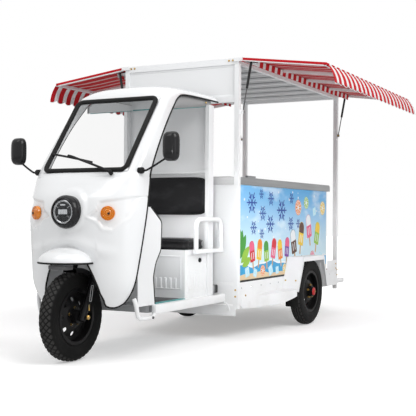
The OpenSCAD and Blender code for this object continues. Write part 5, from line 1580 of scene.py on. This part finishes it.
def wave(colour, base, swing, length, shift, layer):
    """A strip from the panel's foot up to a crest that is the sum of two sines."""
    y = np.linspace(PANEL_Y0 + 4, PANEL_Y1 - 4, 120)
    crest = base + swing * np.sin(2 * np.pi * y / length + shift)
    crest = crest + 0.4 * swing * np.sin(5.1 * np.pi * y / length)
    for k in range(0, 119, 17):
        top = np.stack([y[k:k + 18], crest[k:k + 18]], -1)
        foot_edge = np.stack([top[::-1, 0], np.full(len(top), PANEL_Z0 + 4)], -1)
        stamp(colour, np.concatenate([top, foot_edge]), layer)


def flake(y, z, radius):
    """A snow crystal: six arms, each with a pair of side twigs."""
    bar = np.array([(0, -0.07), (1, -0.055), (1, 0.055), (0, 0.07)])
    for k in range(6):
        for low, high, twig in ((0, 1.0, 0), (0.45, 0.8, 48), (0.45, 0.8, -48)):
            start = turned_flat([(low * radius, 0)], k * 60)[0] + [y, z]
            outline = bar * [(high - low) * radius, radius]
            stamp("navy", turned_flat(outline, k * 60 + twig, start), 3 + k % 3 + (2 if twig else 0))


print("the panels are", round(PANEL_Y1 - PANEL_Y0), "mm long")

# %% [markdown]
# The layout is a set of short tables, one for each motif, with places along the cart and above the
# ground in millimetres, then sizes, angles and colours.

# %% Lay out the print
FLAKES = ((1470, 955, 84), (1655, 880, 62), (1800, 990, 58), (1790, 800, 74), (2000, 905, 92),
          (1500, 775, 56), (2180, 800, 60), (2190, 1000, 48), (1630, 1020, 40), (1640, 730, 42),
          (2330, 800, 44))
LEAVES = ((1285, 560, 62), (1300, 530, 40), (1290, 600, 80), (1320, 505, 22), (1296, 640, 98))
LOLLIES = ((1480, 590, 10, "red", "pink"), (1600, 600, -9, "yellow", "orange"),
           (1722, 585, 6, "lime", "green"), (1850, 602, -12, "pink", "red"),
           (1975, 590, 9, "orange", "yellow"), (2105, 604, -6, "purple", "pink"),
           (2240, 640, 14, "cocoa", "white"), (2392, 700, -10, "yellow", "cocoa"),
           (2560, 760, 12, "pink", "white"), (2740, 700, -14, "lime", "yellow"))
SLICES = ((2330, 930, 62, "orange", "orange"), (2500, 970, 50, "lime", "lime"),
          (2870, 930, 58, "yellow", "yellow"), (1660, 460, 40, "orange", "orange"),
          (2060, 456, 36, "yellow", "yellow"), (2640, 520, 52, "red", "pink"))
CUBES = ((1400, 462, 34, 12), (1530, 450, 30, -18), (1800, 456, 36, 25), (1920, 450, 28, 5),
         (2200, 470, 38, -12), (2400, 490, 36, 18), (2820, 520, 34, -20), (2680, 900, 34, 14))
print(len(FLAKES), "flakes", len(LOLLIES), "lollies", len(SLICES), "slices", len(CUBES), "cubes")

# %% [markdown]
# Everything of one colour becomes one piece. Thirty small bubbles come from a seeded draw, so they
# are the same each time, and a black line closes the print at its foot.

# %% Stamp the print
wave("white", 520, 14, 560, 0.4, 0)
wave("sea", 508, 14, 560, 0.4, 1)
wave("sand", 444, 10, 800, 2.0, 2)
for motif, table in ((flake, FLAKES), (lolly, LOLLIES), (citrus, SLICES), (cube, CUBES)):
    for row in table:
        motif(*row)
for k, (y, z, angle) in enumerate(LEAVES):
    leaf(y, z, 190 - 14 * k, angle, ("green", "lime")[k % 2], 2 + k)
bubbles = np.random.default_rng(7).uniform((1340, 640, 4), (2920, 1050, 11), (30, 3))
for y, z, radius in bubbles:
    stamp("white", ring_of(radius, 14) + [y, z], 1)
stamp("black", [(PANEL_Y0 + 2, PANEL_Z0 + 1), (PANEL_Y1 - 2, PANEL_Z0 + 1),
                (PANEL_Y1 - 2, PANEL_Z0 + 15), (PANEL_Y0 + 2, PANEL_Z0 + 15)], 8)
for name, grids in prints.items():
    put("print_" + name, grids, ink("ink_" + name, INKS[name]), sharp=80)

# %% [markdown]
# ## Cart strips and skirts
# Seam strips close the fascia and the deck's raw edges. The side skirts bow down a little in the
# middle, have one long fold and flare out towards the rear wheel, so each is a section that changes
# along the cart.

# %% Strips and skirts
SKIRT_POINTS = 50
run_y = np.linspace(1302, 1992, SKIRT_POINTS)
low_z = np.interp(run_y, [1300, 1400, 1560, 1780, 1992], [214, 206, 199, 207, 251])
fold_z = np.interp(run_y, [1300, 1992], [272, 300])
flare = 126 * smooth((run_y - 1480) / 520)
top_z = np.full(SKIRT_POINTS, 377.0)
skirt_line = ((470, top_z), (470.6, fold_z + 10), (474 + flare, fold_z), (474 + flare, low_z),
              (471 + flare, low_z - 2), (469 + flare, low_z), (469 + flare, fold_z - 5),
              (464, fold_z + 5), (464, top_z))
skirt = np.stack([np.stack([x + 0 * run_y, run_y, z], -1) for x, z in skirt_line], 1)
closed_ends = [(skirt[[k]] + skirt[[k], ::-1]) / 2 for k in (0, -1)]
skirt = tube_of(np.concatenate([closed_ends[0], skirt, closed_ends[1]]))
strips = [soft_box((-436, 1249.5, z), (436, 1252.5, z + 14), 1.2) for z in (1690, 1898)]
strips.append(soft_box((-436, 1238.5, 374), (436, 1243, 396), 1.8))
edges = both(soft_box((466, 1274, 374), (471.5, 3206, 395), 2),
             soft_box((464, 2988, 376), (470, 3206, 474), 2.4),
             soft_box((469, 2662, 252), (473, 3202, 262), 1.8), skirt,
             soft_box((464, 1985, 296), (470, 2112, 394), 2))
put("cart_strips", strips + edges, cart_white, sharp=25)
apron = soft_box((-452, 1242, 164), (452, 1247, 240), 1.8)
peg_path = eased([(386, 1196, 262), (400, 1222, 246), (404, 1266, 170), (404, 1290, 165)], 12, 5)
put("front_apron", [apron, carried(peg_path, ring_of(7, 12), (1, 0, 0))], cart_white)

# %% [markdown]
# A turned-down lip stiffens each mudguard's outer edge, rubber flaps hang before the rear wheels, and
# a steel lip covers the counter's front edge. Domed screws and a few yellow ones hold the sheets.

# %% Lips, flaps and screws
lip_out = np.array([(1995, 282), (2103, 543), (2547, 543), (2625, 282)], float)
lip_in = np.array([(2008, 282), (2114, 508), (2536, 508), (2612, 282)], float)
lip_corners = ((605, lip_out), (608.4, lip_out), (608.4, lip_in), (605, lip_in))
lip = np.stack([np.column_stack([np.full(4, x), line]) for x, line in lip_corners], 1)
put("mudguard_lips", both(capped(lip)), cart_white, sharp=25)
put("step_ends", both(soft_box((428, 3242, 262), (468, 3419.5, 300.5), 4)), cart_white)
put("counter_lip", [soft_box((-431, 1243.8, 1079), (431, 1246.2, 1130), 0.8)], lip_steel)
put("mud_flaps", both(soft_box((500, 2002, 167), (606, 2008, 262), 2)), trim_rubber)


def screw(at, along, radius):
    """A domed screw head, standing along a direction."""
    return turned([(-1, 0), (-1, radius), (1, radius), (3, radius * 0.7), (3.6, 0)], at, along, 16)


SKIRT_SCREWS = (1300, 1460, 1620, 1780, 1930, 2690, 2860, 3030, 3180)
screws = [screw((470.4, y, 356), (1, 0, 0), 5.0) for y in SKIRT_SCREWS]
screws += [screw((500, y, 543), (0, 0, 1), 5.0) for y in (2150, 2325, 2500)]
yellow = [screw((x, 2024, 366), (0, -0.92, 0.38), 6.5) for x in (490, 575)]
yellow += [screw((470.6, 3190, z), (1, 0, 0), 6.5) for z in (400, 440)]
yellow.append(nut((484, CART_REAR - 47, 1582), (0, -1, 0), 8, 7))
put("yellow_screws", both(*yellow), yellow_zinc)
put("cart_screws", both(*screws), rod_steel)

# %% [markdown]
# ## Finishes for the CAD pieces
# The other CAD pieces keep their meshes, and only take a finish. The deck is plywood, the tail lamps
# are ribbed red plastic, and the frame's one mesh changes colour along the vehicle.

# %% Deck, lenses and frame
deck_wood = finish("deck_wood", (0.36, 0.26, 0.16), 0.7, lambda at: {
    "Base Color": blended(cloud(at, 30.0, 5.0, (1.0, 0.06, 1.0)), (0.42, 0.3, 0.19), (0.24, 0.16, 0.09)),
    "Roughness": cloud(at, 12.0) * 0.2 + 0.6})
red_lens = finish("red_lens", (0.5, 0.01, 0.012), 0.2, lambda at: {
    "Roughness": cloud(at, 60.0) * 0.15 + 0.12,
    "Normal": bumped(at.sum("SINE", parts_of(at)[0] * 900.0), 0.0008)}, coat_weight=0.5)


def chassis_recipe(at):
    """Black frame paint, with grey under the cab and white on the step behind the cart."""
    parts = sprayed(BLACK, BLACK_DUST, 0.6, 1.0, 0.42)(at)
    y = parts_of(at)[1]
    front, rear = CART_FRONT / 1000 + AXLE_Y, CART_REAR / 1000 + AXLE_Y
    behind = step(y, rear - 0.012, rear - 0.002)
    under_cab = 1 - step(y, front - 0.06, front - 0.02)
    stepped = blended(behind, parts["Base Color"], WHITE)
    parts["Base Color"] = blended(under_cab, stepped, (0.36, 0.37, 0.38))
    return parts


chassis_paint = finish("chassis_paint", BLACK, 0.42, chassis_recipe)

# %% [markdown]
# One table says which finish each CAD piece takes. The meshes come with plain materials, which are
# cleared first.

# %% Dress the CAD pieces
DRESS = {
    cab_white: ["leg_shield", "back_wall", "front_fascia"],
    cart_white: ["seat_box", "cart_posts", "roof_frame", "side_skirts", "mudguards", "chest_body",
                 "awning_frame_left", "awning_frame_right"],
    chassis_paint: ["chassis_frame"],
    frame_black: ["rear_axle", "handlebar", "brake_pedal", "strut_tubes_left", "strut_tubes_right"],
    rim_black: ["front_rim", "rear_rim_left", "rear_rim_right", "fork_legs", "fork_crown"],
    matt_plastic: ["brake_lever", "battery_pack"],
    trim_rubber: ["throttle_grip"],
    counter_steel: ["counter_top", "chest_lid"],
    strut_grey: ["strut_rods_left", "strut_rods_right"],
    deck_wood: ["bed_deck"],
    roof_metal: ["roof_sheet"],
    red_lens: ["tail_lamps"],
    yellow_zinc: ["frame_bolts"],
}
for look_of, nodes in DRESS.items():
    for node in nodes:
        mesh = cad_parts[node].data
        mesh.materials.clear()
        mesh.materials.append(look_of)
print("CAD pieces dressed:", sum(map(len, DRESS.values())))
